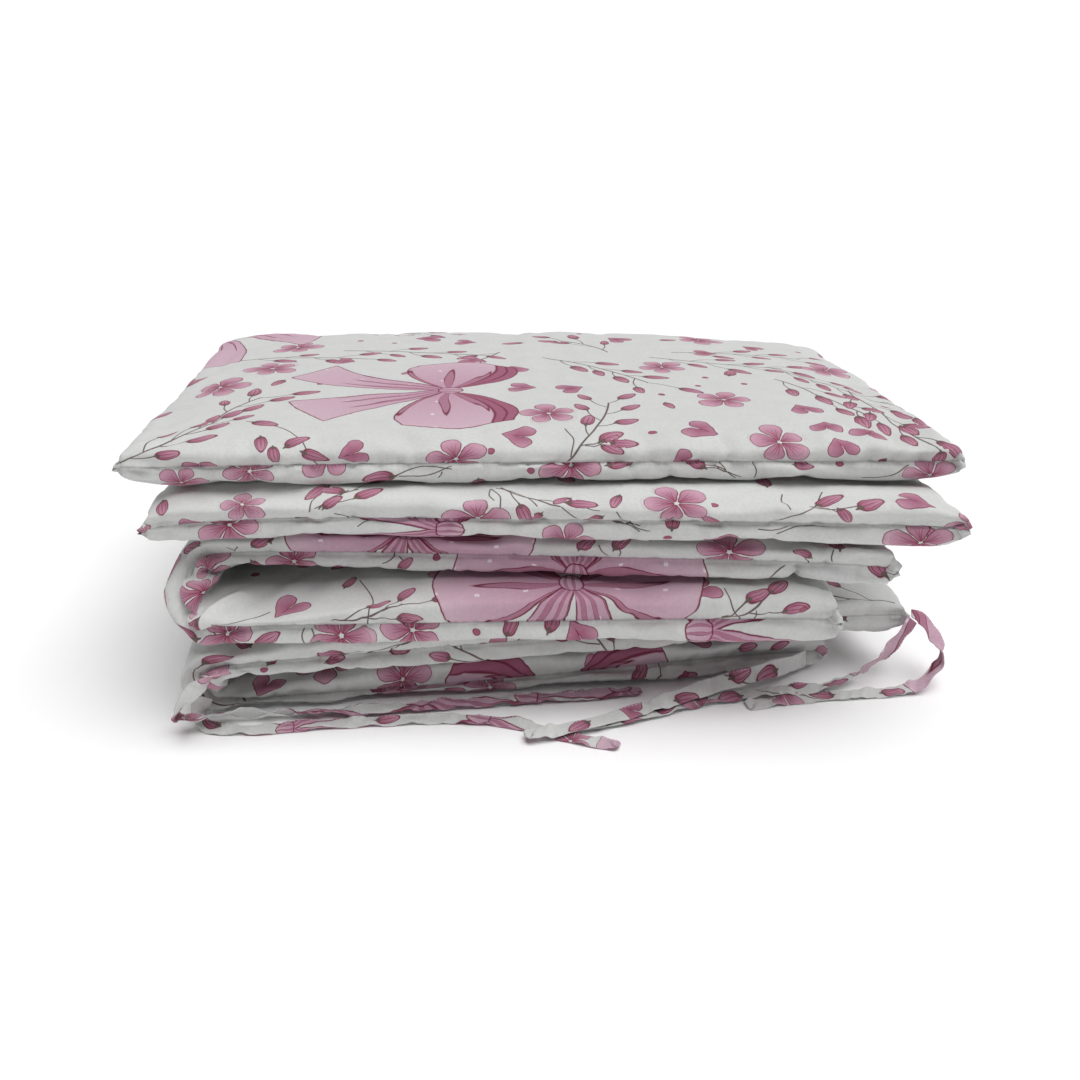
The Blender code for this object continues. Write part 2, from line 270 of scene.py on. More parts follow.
class PadCloth:
    """The two panels of a pad as grids of points that share their edge, the seam."""

    def __init__(self, nets, spacing):
        crosswise = [net.swapaxes(0, 1) for net in nets]
        self.nets = nets
        self.columns, self.u = even_places(nets, spacing)
        self.rows, self.v = even_places(crosswise, spacing)
        self.panels = [surface(net, self.columns, self.rows) for net in nets]

    def coarser(self, step):
        """The same cloth at every step-th column and row."""
        cloth = object.__new__(PadCloth)
        cloth.nets = self.nets
        cloth.columns, cloth.u = self.columns[::step], self.u[::step]
        cloth.rows, cloth.v = self.rows[::step], self.v[::step]
        cloth.panels = [panel[::step, ::step] for panel in self.panels]
        return cloth

    def indices(self):
        """Vertex numbers of both panels, where those on the seam are the same."""
        nu, nv = len(self.u), len(self.v)
        upper = np.arange(nu * nv).reshape(nu, nv)
        lower = upper.copy()
        lower[1:-1, 1:-1] = nu * nv + np.arange((nu - 2) * (nv - 2)).reshape(nu - 2, nv - 2)
        return upper, lower

    def points(self):
        """The points of both panels in the order of their numbers."""
        return np.concatenate(
            [self.panels[0].reshape(-1, 3), self.panels[1][1:-1, 1:-1].reshape(-1, 3)]
        )

    def faces(self):
        """Faces of both panels, pointing outwards."""
        upper, lower = self.indices()
        return np.concatenate(
            [cells(upper).reshape(-1, 4), cells(lower)[..., ::-1].reshape(-1, 4)]
        )

    def flat_faces(self):
        """Of both panels the corners of each face on the flat cloth, in mm, and their size."""
        spots = np.stack(np.meshgrid(self.u / MM, self.v / MM, indexing="ij"), -1)
        quads = cells(spots).reshape(-1, 4, 2)
        return quads, quads[:, ::-1], tuple(spots[-1, -1])

    def mesh(self, name):
        """A mesh of the cloth."""
        made = bpy.data.meshes.new(name)
        made.from_pydata(self.points().tolist(), [], self.faces().tolist())
        return made

    def normals(self):
        """Outward directions of both panels at their points."""
        found = []
        for panel, side in zip(self.panels, (1, -1)):
            du = np.gradient(panel, axis=0)
            dv = np.gradient(panel, axis=1)
            out = np.cross(du, dv) * side
            found.append(out / np.maximum(np.linalg.norm(out, axis=-1, keepdims=True), 1e-12))
        rim = np.zeros(found[0].shape[:2], bool)
        rim[[0, -1], :] = rim[:, [0, -1]] = True
        shared = found[0] + found[1]
        shared /= np.maximum(np.linalg.norm(shared, axis=-1, keepdims=True), 1e-12)
        found[0][rim] = shared[rim]
        found[1][rim] = shared[rim]
        return found


def flat_pad_nets(layer, corners, hangs, plump, top_edge=EDGE_ROWS):
    """Nets of a flat pad's upper and lower panel, from the corners of its seam in plan."""
    corners = np.array(corners, float)
    length = np.linalg.norm(corners[1] - corners[0])
    nets = []
    for side, height, edge in ((1, plump, top_edge), (-1, LAYER / 2, EDGE_ROWS)):
        columns, rows = rows_over(length), rows_over(PAD_WIDTH, edge)
        along, across, rise, _ = crossings(columns, rows, length, FLAT_PAD_TIPS)
        if edge is not EDGE_ROWS:
            _, _, full, _ = crossings(columns, rows_over(PAD_WIDTH), length, FLAT_PAD_TIPS)
            to_end = np.minimum(columns[:, 0:1], length - columns[:, 0:1])
            rise = full + (rise - full) * smooth(to_end / DRAW_REACH)
        share = (along / length)[..., None]
        front = corners[0] + (corners[1] - corners[0]) * share
        back = corners[2] + (corners[3] - corners[2]) * share
        spot = front + (back - front) * (across / PAD_WIDTH)[..., None]
        inward = np.minimum(
            np.minimum(along, length - along), np.minimum(across, PAD_WIDTH - across)
        )
        hang = 0
        for tip, drop in zip(corners[:2], hangs):
            near_tip = smooth(1 - np.linalg.norm(spot - tip, axis=-1) / TIP_REACH)
            hang = hang + drop * near_tip
        crown = 1.0
        if height > LAYER / 2:
            crown = CROWN_SHARES[0] + CROWN_SHARES[1] * smooth(inward / CROWN_REACH)
        z = SEAM_HEIGHTS[layer] + side * height * crown * rise - hang
        nets.append(settled(spot[..., 0], spot[..., 1], z))
    return nets


CLOTH_SPACING = 3.2 * MM

top_pad = PadCloth(
    flat_pad_nets(
        5, ((-297, 16), (301, -20), (-294, 397), (324, 366)), (-5, -6), 20.5, TOP_EDGE_ROWS
    ),
    CLOTH_SPACING,
)


def neighbours(*nodes):
    """What the cloth may not reach: the other pads, as solids to measure to."""
    found = []
    for node in nodes:
        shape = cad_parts[node].data
        shape.calc_loop_triangles()
        points = [tuple(v.co) for v in shape.vertices]
        found.append(BVHTree.FromPolygons(points, [t.vertices[:] for t in shape.loop_triangles]))
    return found


ROOM, LOOK_AHEAD = 0.006, 0.012  # m a point may move at most, and how far it looks
ROOM_SHARE, FLOOR_SHARE = 0.45, 0.9  # of the way to another pad and to the surface


def room(cloth, others):
    """How far each point of the panels may move outwards, in metres."""
    found = []
    for panel, out in zip(cloth.panels, cloth.normals()):
        free = np.full(panel.shape[:2], ROOM)
        for i in range(panel.shape[0]):
            for j in range(panel.shape[1]):
                spot, way = Vector(panel[i, j]), Vector(out[i, j])
                for tree in others:
                    hit = tree.ray_cast(spot, way, LOOK_AHEAD)
                    if hit[3] is not None:
                        free[i, j] = min(free[i, j], hit[3] * ROOM_SHARE)
                if way.z < -0.05:
                    free[i, j] = min(free[i, j], spot.z / -way.z * FLOOR_SHARE)
        found.append(np.maximum(free, 0))
    return found


def seam_puckers(along, inward, seed, pitch):
    """Short uneven creases that start at a seam and run inwards, as depths in metres."""
    pick = np.random.default_rng(seed)
    depth = np.zeros(along.shape)
    here = pick.uniform(0, pitch)
    while here < along.max():
        slant = pick.uniform(-0.35, 0.35)
        reach = pick.uniform(7, 32) * MM
        width = pick.uniform(1.2, 2.8) * MM
        deep = pick.uniform(1.0, 3.4) * MM * pick.uniform(0.35, 1.0)
        across = np.abs(along - here - slant * inward)
        wide = width + inward * 0.12
        depth += deep * np.exp(-((across / wide) ** 1.4)) * np.exp(-((inward / reach) ** 2))
        here += pick.uniform(0.45, 1.7) * pitch
    return depth


def corner_gathers(along, inward, seed, folds=4):
    """Folds that fan out from a corner of a panel."""
    pick = np.random.default_rng(seed)
    radius = np.hypot(along, inward)
    turn = np.arctan2(inward, along)
    depth = np.zeros(along.shape)
    for i in range(folds):
        way = math.radians(90 * (i + pick.uniform(0.3, 0.8)) / folds)
        across = radius * np.sin(turn - way)
        reach = pick.uniform(26, 62) * MM
        wide = pick.uniform(1.6, 3.0) * MM + radius * 0.05
        deep = pick.uniform(0.6, 1.7) * MM
        depth += deep * np.exp(-((across / wide) ** 2)) * np.exp(-((radius / reach) ** 2))
    return depth * smooth((radius - 4 * MM) / (9 * MM))


PUCKER_PITCH = 13 * MM
SEAM_GROOVE = ((1.9, 1.3, 1.4), (1.1, 3.6, 1.6))  # mm deep, mm wide, and how sharp


def creases(cloth, side, seed, own=()):
    """Depth of all creases of a panel: at its seams, in its corners and those of its own."""
    u, v = np.meshgrid(cloth.u, cloth.v, indexing="ij")
    far_u, far_v = cloth.u[-1] - u, cloth.v[-1] - v
    depth = np.zeros(u.shape)
    for number, (along, inward) in enumerate(((u, v), (u, far_v), (v, u), (v, far_u))):
        depth += seam_puckers(along, inward, seed * 40 + side * 20 + number, PUCKER_PITCH)
        for deep, wide, sharp in SEAM_GROOVE:
            depth += deep * MM * np.exp(-((inward / (wide * MM)) ** sharp))
    to_corner = np.hypot(np.minimum(u, far_u), np.minimum(v, far_v))
    depth *= smooth((to_corner - 3 * MM) / (16 * MM))
    for number, (along, inward) in enumerate(((u, v), (far_u, v), (u, far_v), (far_u, far_v))):
        depth += corner_gathers(along, inward, seed * 40 + side * 20 + 10 + number)
    for at_u, at_v, to_u, to_v, deep, wide in own:
        start, run = np.array([at_u, at_v]) * MM, np.array([to_u - at_u, to_v - at_v]) * MM
        share = ((u - start[0]) * run[0] + (v - start[1]) * run[1]) / (run @ run)
        nearest = np.clip(share, 0, 1)
        off = np.hypot(u - start[0] - nearest * run[0], v - start[1] - nearest * run[1])
        depth += deep * MM * np.exp(-((off / (wide * MM)) ** 1.6))
    return depth


def blurred(grid, reach):
    """The grid's values spread over that many points to each side."""
    for axis in (0, 1):
        weights = np.exp(-np.linspace(-2, 2, 2 * reach + 1) ** 2 / 2)
        weights /= weights.sum()
        padded = [(0, 0)] * grid.ndim
        padded[axis] = (reach, reach)
        wide = np.pad(grid, padded, mode="reflect", reflect_type="odd")
        size = grid.shape[axis]
        grid = sum(w * np.take(wide, np.arange(i, i + size), axis) for i, w in enumerate(weights))
    return grid


SIM_FRAMES = 20
HOLD_INSIDE = 0.03  # how firmly the cloth inside the seam keeps its place
SHRINK = -0.035  # the cloth is cut that much too large, so that it wrinkles
BROAD = 9  # points to each side: what is broader than this is left out of the dents
INSIDE_SHARE, EDGE_BAND = 0.3, 0.07  # the dents' share inside, and the band where all count
DENT_IN, DENT_ASIDE = 0.004, 0.002  # the most that a point moves inwards and sideways, in m


def simulated(coarse, upper, lower):
    """How far a cloth simulation with its seam held moves each point."""
    pad = placed("pad being filled", coarse.mesh("pad being filled"))
    seam = set(upper[[0, -1], :].ravel()) | set(upper[:, [0, -1]].ravel())
    held = pad.vertex_groups.new(name="held")
    everything = sorted(set(upper.ravel()) | set(lower.ravel()))
    held.add([int(i) for i in everything if i not in seam], HOLD_INSIDE, "REPLACE")
    held.add([int(i) for i in seam], 1.0, "REPLACE")
    cloth_mod = pad.modifiers.new("Cloth", "CLOTH")
    for key, value in dict(
        quality=4, mass=0.05, tension_stiffness=12, compression_stiffness=12, shear_stiffness=3,
        bending_stiffness=0.02, vertex_group_mass="held", pin_stiffness=1.0, shrink_min=SHRINK,
        shrink_max=SHRINK, use_pressure=True, uniform_pressure_force=1.0,
    ).items():
        setattr(cloth_mod.settings, key, value)
    cloth_mod.settings.effector_weights.gravity = 0
    cloth_mod.collision_settings.use_collision = False
    scene = bpy.context.scene
    for number in range(1, SIM_FRAMES + 1):
        scene.frame_set(number)
    got = np.empty(len(pad.data.vertices) * 3)
    done = pad.evaluated_get(bpy.context.evaluated_depsgraph_get())
    done.data.vertices.foreach_get("co", got)
    scene.frame_set(1)
    old = pad.data
    bpy.data.objects.remove(pad)
    bpy.data.meshes.remove(old)
    return got.reshape(-1, 3) - coarse.points()


def gathered(cloth, others, seed, own=((), ())):
    """Wrinkles the panels: dents from a cloth simulation, then creases."""
    step = 2
    coarse = cloth.coarser(step)
    upper, lower = coarse.indices()
    moved = simulated(coarse, upper, lower)
    free = room(coarse, others)
    outs, fine_outs = coarse.normals(), cloth.normals()
    places = np.arange(len(cloth.u)) / step, np.arange(len(cloth.v)) / step
    u, v = np.meshgrid(coarse.u, coarse.v, indexing="ij")
    near_u, near_v = np.minimum(u, u[-1, 0] - u), np.minimum(v, v[0, -1] - v)
    inside_seam = smooth(1 - np.minimum(near_u, near_v) / EDGE_BAND)
    off_tip = smooth((np.hypot(near_u, near_v) - 3 * MM) / (22 * MM))
    for k, grid in enumerate((upper, lower)):
        shift = moved[grid]
        shift = shift - blurred(shift, BROAD)
        shift *= (INSIDE_SHARE + (1 - INSIDE_SHARE) * inside_seam)[..., None]
        shift *= off_tip[..., None]
        out = (shift * outs[k]).sum(-1)
        sideways = shift - out[..., None] * outs[k]
        reach = np.linalg.norm(sideways, axis=-1, keepdims=True)
        sideways *= np.minimum(1, DENT_ASIDE / np.maximum(reach, 1e-9))
        out = np.clip(out, -DENT_IN, free[k])
        shift = sideways + out[..., None] * outs[k]
        shift[[0, -1], :] = 0
        shift[:, [0, -1]] = 0
        cloth.panels[k] = cloth.panels[k] + surface(shift, *places)
        cloth.panels[k] -= creases(cloth, k, seed, own[k])[..., None] * fine_outs[k]
    rim = np.zeros(cloth.panels[0].shape[:2], bool)
    rim[[0, -1], :] = rim[:, [0, -1]] = True
    cloth.panels[1][rim] = cloth.panels[0][rim]


def smooth_route(points, steps):
    """A smooth curve through the points (Catmull-Rom), ends included."""
    points = np.array(points, float)
    points = np.concatenate([2 * points[:1] - points[1:2], points, 2 * points[-1:] - points[-2:-1]])
    found = []
    for a, b, c, d in zip(points, points[1:], points[2:], points[3:]):
        t = np.arange(steps)[:, None] / steps
        found.append(
            b + (c - a) * t / 2
            + (2 * a - 5 * b + 4 * c - d) * t**2 / 2
            + (3 * b - a - 3 * c + d) * t**3 / 2
        )
    return np.concatenate(found + [points[-2:-1]])


# Colours of the cotton and its inks, as sRGB
CLOTH_LIGHT, CLOTH_SHADE = "d4d5d3", "cbcccb"
PETAL, PETAL_DARK, DEEP_ROSE, OUTLINE = "c598ab", "9c5b74", "8a3a55", "762a43"
BOW, BOW_SHADE, STEM, EYE = "cbafbc", "bc93a7", "665853", "e4dadf"
THREAD = 0.9  # mm from thread to thread; the real 0.35 would not show
WEAVE_RELIEF, PUCKER_RELIEF, RIPPLE_RELIEF = 0.045, 1.3, 1.5  # mm


def add(tree, kind, *values, **settings):
    """Adds a node with its settings. The values, sockets or constants, fill its inputs."""
    made = tree.nodes.new(kind)
    for key, value in settings.items():
        setattr(made, key, value)
    for socket, value in zip([s for s in made.inputs if s.enabled], values):
        if isinstance(value, bpy.types.NodeSocket):
            tree.links.new(value, socket)
        elif value is not None:
            socket.default_value = value
    return [s for s in made.outputs if s.enabled][0]


MATH, MIX = "ShaderNodeMath", "ShaderNodeMix"


def maths_in(tree):
    """A function that adds a sum to a node tree: its operation, then its values."""
    return lambda operation, *values: add(tree, MATH, *values, operation=operation)


def drop_distance(tree, x, y, base, tip, length):
    """Signed distance in mm to a drop: a circle at 0, another at length and their hull."""
    maths = maths_in(tree)
    lean = (base - tip) / length
    flat = math.sqrt(1 - lean * lean)
    aside = maths("ABSOLUTE", x)
    along = maths("MULTIPLY_ADD", y, flat, maths("MULTIPLY", aside, -lean))
    side = maths("MULTIPLY_ADD", aside, flat, maths("MULTIPLY_ADD", y, lean, -base))
    squared = maths("MULTIPLY", aside, aside)
    low = maths("MULTIPLY_ADD", y, y, squared)
    low = maths("SUBTRACT", maths("SQRT", low), base)
    past = maths("SUBTRACT", y, length)
    high = maths("MULTIPLY_ADD", past, past, squared)
    high = maths("SUBTRACT", maths("SQRT", high), tip)
    below = maths("LESS_THAN", along, 0.0)
    above = maths("GREATER_THAN", along, flat * length)
    near = add(tree, MIX, below, side, low, data_type="FLOAT")
    return add(tree, MIX, above, near, high, data_type="FLOAT")


def step_down(tree, value, edge, soft):
    """1 where the value is below the edge and 0 above, over a soft width."""
    return add(tree, "ShaderNodeMapRange", value, edge - soft, edge + soft, 1.0, 0.0,
               interpolation_type="SMOOTHSTEP")


BLOOMS = {"flower": (1, 46), "heart": (2, 28), "dot": (3, 6)}  # code, size as drawn in mm
BUD_LENGTH = 20.0
BOW_WIDTH = 140.0
NEAR_BLOOM, NEAR_BUD, NEAR_STEM, NEAR_BOW = 4.0, 3.0, 5.0, 4.0  # mm off it, faces still carry it


# The print's motifs are drawn by the material from coordinates that each face carries: for
# a small motif its own x and y in mm, for a stem the distance to its line, and for a part
# of a bow the place along and across it and the distance to its edge.

BOW_PARTS = {
    # part: layer, near edge and far edge, both from the knot outwards, and the end between
    "left tail": (
        "bow_tail",
        ((-5, -4), (-18, -20), (-30, -44), (-48, -68), (-74, -86)),
        ((1, -6), (-2, -28), (-8, -58), (-20, -88), (-42, -116)), ((-58, -99),),
    ),
    "right tail": (
        "bow_tail",
        ((-2, -6), (4, -26), (8, -52), (16, -82), (20, -108)),
        ((5, -5), (20, -20), (36, -42), (50, -62), (66, -78)), ((40, -98),),
    ),
    "left loop": (
        "bow_loop",
        ((-5, -5), (-20, -18), (-40, -30), (-58, -32), (-70, -24)),
        ((-5, 5), (-15, 24), (-30, 40), (-48, 48), (-64, 46)), ((-78, 12),),
    ),
    "right loop": (
        "bow_loop",
        ((5, -5), (22, -20), (42, -30), (60, -34), (72, -28)),
        ((5, 5), (14, 22), (28, 38), (46, 46), (66, 42)), ((80, 8),),
    ),
    "knot": (
        "bow_knot",
        ((-4, -8), (-7, -3), (-7, 3), (-4, 8)), ((4, -8), (7, -3), (7, 3), (4, 8)), ((0, 9.2),),
    ),
}


def bow_patches():
    """Each part of a bow as a grid of places along and across it, with its outline."""
    made = {}
    for part, (layer, near, far, end) in BOW_PARTS.items():
        near_line, far_line = smooth_route(near, 8), smooth_route(far, 8)
        start_line = np.linspace(near_line[0], far_line[0], 13)
        end_line = smooth_route((near[-1],) + end + (far[-1],), 6)
        s = np.linspace(0, 1, len(near_line))[:, None, None]
        t = np.linspace(0, 1, 13)[None, :, None]
        grid = (
            near_line[:, None] * (1 - t) + far_line[:, None] * t
            + start_line[None] * (1 - s) + end_line[None] * s
            - near_line[0] * (1 - s) * (1 - t) - far_line[0] * (1 - s) * t
            - near_line[-1] * s * (1 - t) - far_line[-1] * s * t
        )
        outline = np.concatenate([near_line, end_line[1:], far_line[-2::-1], start_line[-2:0:-1]])
        made[part] = (layer, grid, outline)
    return made


def to_line(points, line):
    """Distance from points to a line of short pieces, and on which side of it they lie."""
    starts, runs = line[:-1], np.diff(line, axis=0)
    off = points[..., None, :] - starts
    share = np.clip((off * runs).sum(-1) / (runs * runs).sum(-1), 0, 1)
    gap = off - share[..., None] * runs
    distance = np.hypot(gap[..., 0], gap[..., 1])
    nearest = distance.argmin(-1)
    cross = runs[:, 0] * off[..., 1] - runs[:, 1] * off[..., 0]
    side = np.take_along_axis(cross, nearest[..., None], -1)[..., 0]
    return np.take_along_axis(distance, nearest[..., None], -1)[..., 0], np.where(side < 0, -1, 1)


def inside(points, outline):
    """Whether points lie inside a closed outline."""
    x, y = points[..., 0, None], points[..., 1, None]
    ax, ay = outline[:, 0], outline[:, 1]
    bx, by = np.roll(ax, -1), np.roll(ay, -1)
    crossed = (ay > y) != (by > y)
    where = ax + (y - ay) / np.where(by == ay, 1e-9, by - ay) * (bx - ax)
    return (crossed & (x < where)).sum(-1) % 2 == 1


def turned(points, angle):
    """Points turned about the origin by an angle in degrees."""
    a = math.radians(angle)
    x, y = points[..., 0], points[..., 1]
    return np.stack([x * math.cos(a) - y * math.sin(a), x * math.sin(a) + y * math.cos(a)], -1)


def sprig(start, end, bend, count, seed):
    """Stems and buds of a sprig from its foot to its tip: lines with widths, and buds."""
    pick = np.random.default_rng(seed)
    start, end = np.array(start, float), np.array(end, float)
    run = end - start
    length = np.hypot(*run)
    aside = np.array([-run[1], run[0]]) / length
    middle = (start + end) / 2 + aside * bend
    t = np.linspace(0, 1, 13)[:, None]
    spine = (1 - t) ** 2 * start + 2 * t * (1 - t) * middle + t**2 * end
    stems = [(spine, 0.75)]
    buds = []
    for i in range(count):
        at = 0.16 + 0.84 * (i + pick.uniform(-0.15, 0.15)) / max(count - 1, 1)
        at = min(at, 1.0)
        foot = (1 - at) ** 2 * start + 2 * at * (1 - at) * middle + at**2 * end
        ahead = (1 - at) * (middle - start) + at * (end - middle)
        way = math.atan2(ahead[1], ahead[0])
        hand = 1 if i % 2 else -1
        lean = hand * pick.uniform(0.45, 0.85) if at < 1 else 0.0
        reach = pick.uniform(13, 27) * (1.0 if at < 1 else 0.35)
        knee = foot + reach * 0.55 * np.array([math.cos(way + lean), math.sin(way + lean)])
        lean *= 0.62
        top = knee + reach * 0.55 * np.array([math.cos(way + lean), math.sin(way + lean)])
        stems.append((smooth_route((foot, knee, top), 4), 0.5))
        size = pick.uniform(17, 23)
        buds.append((*top, math.degrees(way + lean) + pick.uniform(-14, 14) - 90, size))
    return stems, buds


STEM_BEND = 0.12  # of a stem's length, to one side and the other in turn


def bent_stem(foot, tip, number):
    """A stem from its foot to its tip, curved by a rule and not as any drawn line runs."""
    foot, tip = np.array(foot, float), np.array(tip, float)
    run = tip - foot
    bend = STEM_BEND if number % 2 else -STEM_BEND
    middle = (foot + tip) / 2 + bend * np.array([-run[1], run[0]])
    return smooth_route((foot, middle, tip), 6)


def seen_from(points, x, y, angle, drawn, size):
    """Points as a motif sees them, from its own place, turned and in its drawn size."""
    return turned(points - (x, y), -angle) * drawn / size


def mark_blooms(found, quads, centre, blooms):
    """Gives the faces near a flower, heart or dot their place in it and its code."""
    best = np.full(len(quads), NEAR_BLOOM)
    for (code, drawn), x, y, angle, wide, number in blooms:
        gap = np.hypot(centre[:, 0] - x, centre[:, 1] - y) - wide / 2
        take = gap < best
        best[take] = gap[take]
        local = seen_from(quads[take], x, y, angle, drawn, wide)
        # the fraction makes its petals differ from those of its like
        mark = np.full(local.shape[:2] + (1,), code + (number * 0.37) % 0.9)
        found["bloom"][take] = np.concatenate([local, mark], -1)


def mark_buds(found, quads, centre, buds):
    """Gives the faces near a bud their place in it."""
    best = np.full(len(quads), NEAR_BUD)
    for x, y, angle, long in buds:
        local = seen_from(centre, x, y, angle, BUD_LENGTH, long)
        gap = np.hypot(local[:, 0], local[:, 1] - np.clip(local[:, 1], 1, 16)) - 4.0
        take = gap < best
        best[take] = gap[take]
        local = seen_from(quads[take], x, y, angle, BUD_LENGTH, long)
        found["bud"][take] = np.concatenate([local, np.ones(local.shape[:2] + (1,))], -1)


def mark_stems(found, quads, centre, stems):
    """Gives each face its distance to its two nearest stems, which may meet or cross in it."""
    gaps = np.full((2, len(quads)), NEAR_STEM)
    which = np.full((2, len(quads)), -1)
    for number, (line, _) in enumerate(stems):
        low, high = line.min(0) - NEAR_STEM, line.max(0) + NEAR_STEM
        close = np.flatnonzero(((centre > low) & (centre < high)).all(1))
        gap = to_line(centre[close], line)[0]
        nearer = gap < gaps[0, close]
        at = close[nearer]
        gaps[1, at], which[1, at] = gaps[0, at], which[0, at]
        gaps[0, at], which[0, at] = gap[nearer], number
        second = ~nearer & (gap < gaps[1, close])
        at = close[second]
        gaps[1, at], which[1, at] = gap[second], number
    for rank in (0, 1):
        for number in np.unique(which[rank][which[rank] >= 0]):
            take = which[rank] == number
            line, half = stems[number]
            gap, side = to_line(quads[take], line)
            to_ends = [np.hypot(*(centre[take] - tip).T) for tip in (line[0], line[-1])]
            past = to_line(centre[take], line)[0] > np.minimum(*to_ends) - 1e-6
            found["stem"][take, :, rank] = gap * np.where(past[:, None], 1, side) / half


def mark_bows(found, quads, centre, bows):
    """Gives the faces near a bow their place in each of its parts."""
    patches = bow_patches()
    for x, y, angle, wide in bows:
        for layer, grid, outline in patches.values():
            local = seen_from(centre, x, y, angle, BOW_WIDTH, wide)
            low, high = outline.min(0) - NEAR_BOW, outline.max(0) + NEAR_BOW
            take = np.flatnonzero(((local > low) & (local < high)).all(1))
            points = seen_from(quads[take], x, y, angle, BOW_WIDTH, wide)
            gap = to_line(points, np.concatenate([outline, outline[:1]]))[0]
            gap = np.where(inside(points, outline), -gap, gap)
            better = gap.min(1) < np.minimum(found[layer][take, :, 2].min(1), NEAR_BOW)
            take, points, gap = take[better], points[better], gap[better]
            step_s, step_t = np.gradient(grid, axis=0), np.gradient(grid, axis=1)
            nearest = ((points[..., None, :] - grid.reshape(-1, 2)) ** 2).sum(-1).argmin(-1)
            i, j = np.unravel_index(nearest, grid.shape[:2])
            off, along, across = points - grid[i, j], step_s[i, j], step_t[i, j]
            area_of = along[..., 0] * across[..., 1] - along[..., 1] * across[..., 0]
            area_of = np.where(np.abs(area_of) < 0.05, 0.05, area_of)
            more_s = (off[..., 0] * across[..., 1] - off[..., 1] * across[..., 0]) / area_of
            more_t = (along[..., 0] * off[..., 1] - along[..., 1] * off[..., 0]) / area_of
            share_s = (i + np.clip(more_s, -1, 1)) / (grid.shape[0] - 1)
            share_t = (j + np.clip(more_t, -1, 1)) / (grid.shape[1] - 1)
            found[layer][take] = np.stack([share_s, share_t, gap], -1)


def printed(mesh, areas, seed):
    """Writes the print into a mesh: of each area its faces on the cloth, motifs and size."""
    blank = dict(bloom=(0, 0, 0), bud=(0, 0, 0), stem=(99, 99, 0))
    names = ("bloom", "bud", "stem", "bow_tail", "bow_loop", "bow_knot", "seam")
    count = sum(len(quads) for quads, _, _ in areas)
    data = {n: np.tile(np.array(blank.get(n, (0, 0, 99)), float), (count, 4, 1)) for n in names}
    first = 0
    for area, (quads, placed_motifs, size) in enumerate(areas):
        found = {n: values[first : first + len(quads)] for n, values in data.items()}
        first += len(quads)
        far = np.array(size) - quads
        edges = np.stack([quads[..., 1], far[..., 1], quads[..., 0], far[..., 0]], -1)
        at_long_side = edges[..., :2].min(-1) <= edges[..., 2:].min(-1)
        along = np.where(at_long_side, quads[..., 0], quads[..., 1])
        found["seam"][:] = np.stack([edges.min(-1), along, np.zeros_like(along)], -1)
        motifs = list(placed_motifs) + scattered(placed_motifs, *size, seed * 2 + area)
        stems, buds, blooms, bows = [], [], [], []
        for number, (kind, *place) in enumerate(motifs):
            if kind == "sprig":
                more_stems, more_buds = sprig(*place, seed * 1000 + area * 500 + number)
                stems += more_stems
                buds += more_buds
            elif kind == "stem":
                stems.append((bent_stem(*place, number), 0.5))
            elif kind == "bud":
                buds.append(place)
            elif kind == "bow":
                bows.append(place)
            else:
                blooms.append((BLOOMS[kind], *place, number))
        centre = quads.mean(1)
        mark_blooms(found, quads, centre, blooms)
        mark_buds(found, quads, centre, buds)
        mark_stems(found, quads, centre, stems)
        mark_bows(found, quads, centre, bows)

    corners = np.concatenate([quads for quads, _, _ in areas])
    cloth_map = mesh.uv_layers.new(name="cloth")
    cloth_map.data.foreach_set("uv", (corners * MM).ravel())
    for name, values in data.items():
        made = mesh.attributes.new(name, "FLOAT_VECTOR", "CORNER")
        made.data.foreach_set("vector", values.ravel())


NARROW = 50  # mm, below which a cloth is a strip


def scattered(given, length, width, seed):
    """Motifs that fill what the given ones leave bare; a narrow strip gets no big ones."""
    pick = np.random.default_rng(seed + 70)
    taken = []
    for kind, *place in given:
        if kind in ("sprig", "stem"):
            start, end = np.array(place[0], float), np.array(place[1], float)
            shares, reach = ((0, 0.33, 0.67, 1), 19) if kind == "sprig" else ((0, 0.5, 1), 5)
            taken += [(*(start + (end - start) * t), reach) for t in shares]
        elif kind == "bud":
            taken.append((place[0], place[1], 14))
        elif kind == "bow":
            middle = turned(np.array([0.0, -32.0]), place[2])
            taken.append((place[0] + middle[0], place[1] + middle[1], 84))
        else:
            taken.append((place[0], place[1], place[3] * 0.55))
    found = []
    # kind, room that it needs round its middle in mm, and how often it is tried
    sizes = (("bow", 88, 0 if given else 30), ("sprig", 52, 900), ("flower", 30, 900),
             ("heart", 21, 400), ("bud", 17, 300), ("dot", 14, 200))
    if width < NARROW:
        sizes = (("flower", 40, 60), ("bud", 13, 300), ("dot", 9, 60))
    for kind, radius, tries in sizes:
        for _ in range(tries):
            x, y = pick.uniform(-10, length + 10), pick.uniform(-10, width + 10)
            if any((x - a) ** 2 + (y - b) ** 2 < (radius + r) ** 2 for a, b, r in taken):
                continue
            angle = pick.uniform(0, 360)
            if kind == "bow":
                angle = pick.choice([0, 90, 180, 270]) + pick.uniform(-20, 20)
                found.append(("bow", x, y, angle, 165))
            elif kind == "sprig":
                half = turned(np.array([radius + 2.0, 0.0]), angle)
                start, end = (x - half[0], y - half[1]), (x + half[0], y + half[1])
                found.append(("sprig", start, end, pick.uniform(-16, 16), 6))
            elif kind == "bud":
                found.append(("bud", x, y, angle, pick.uniform(15, 21)))
            else:
                size = {"flower": 44, "heart": 26, "dot": 6}[kind] * pick.uniform(0.85, 1.15)
                found.append((kind, x, y, angle, size))
            taken.append((x, y, radius))
    return found


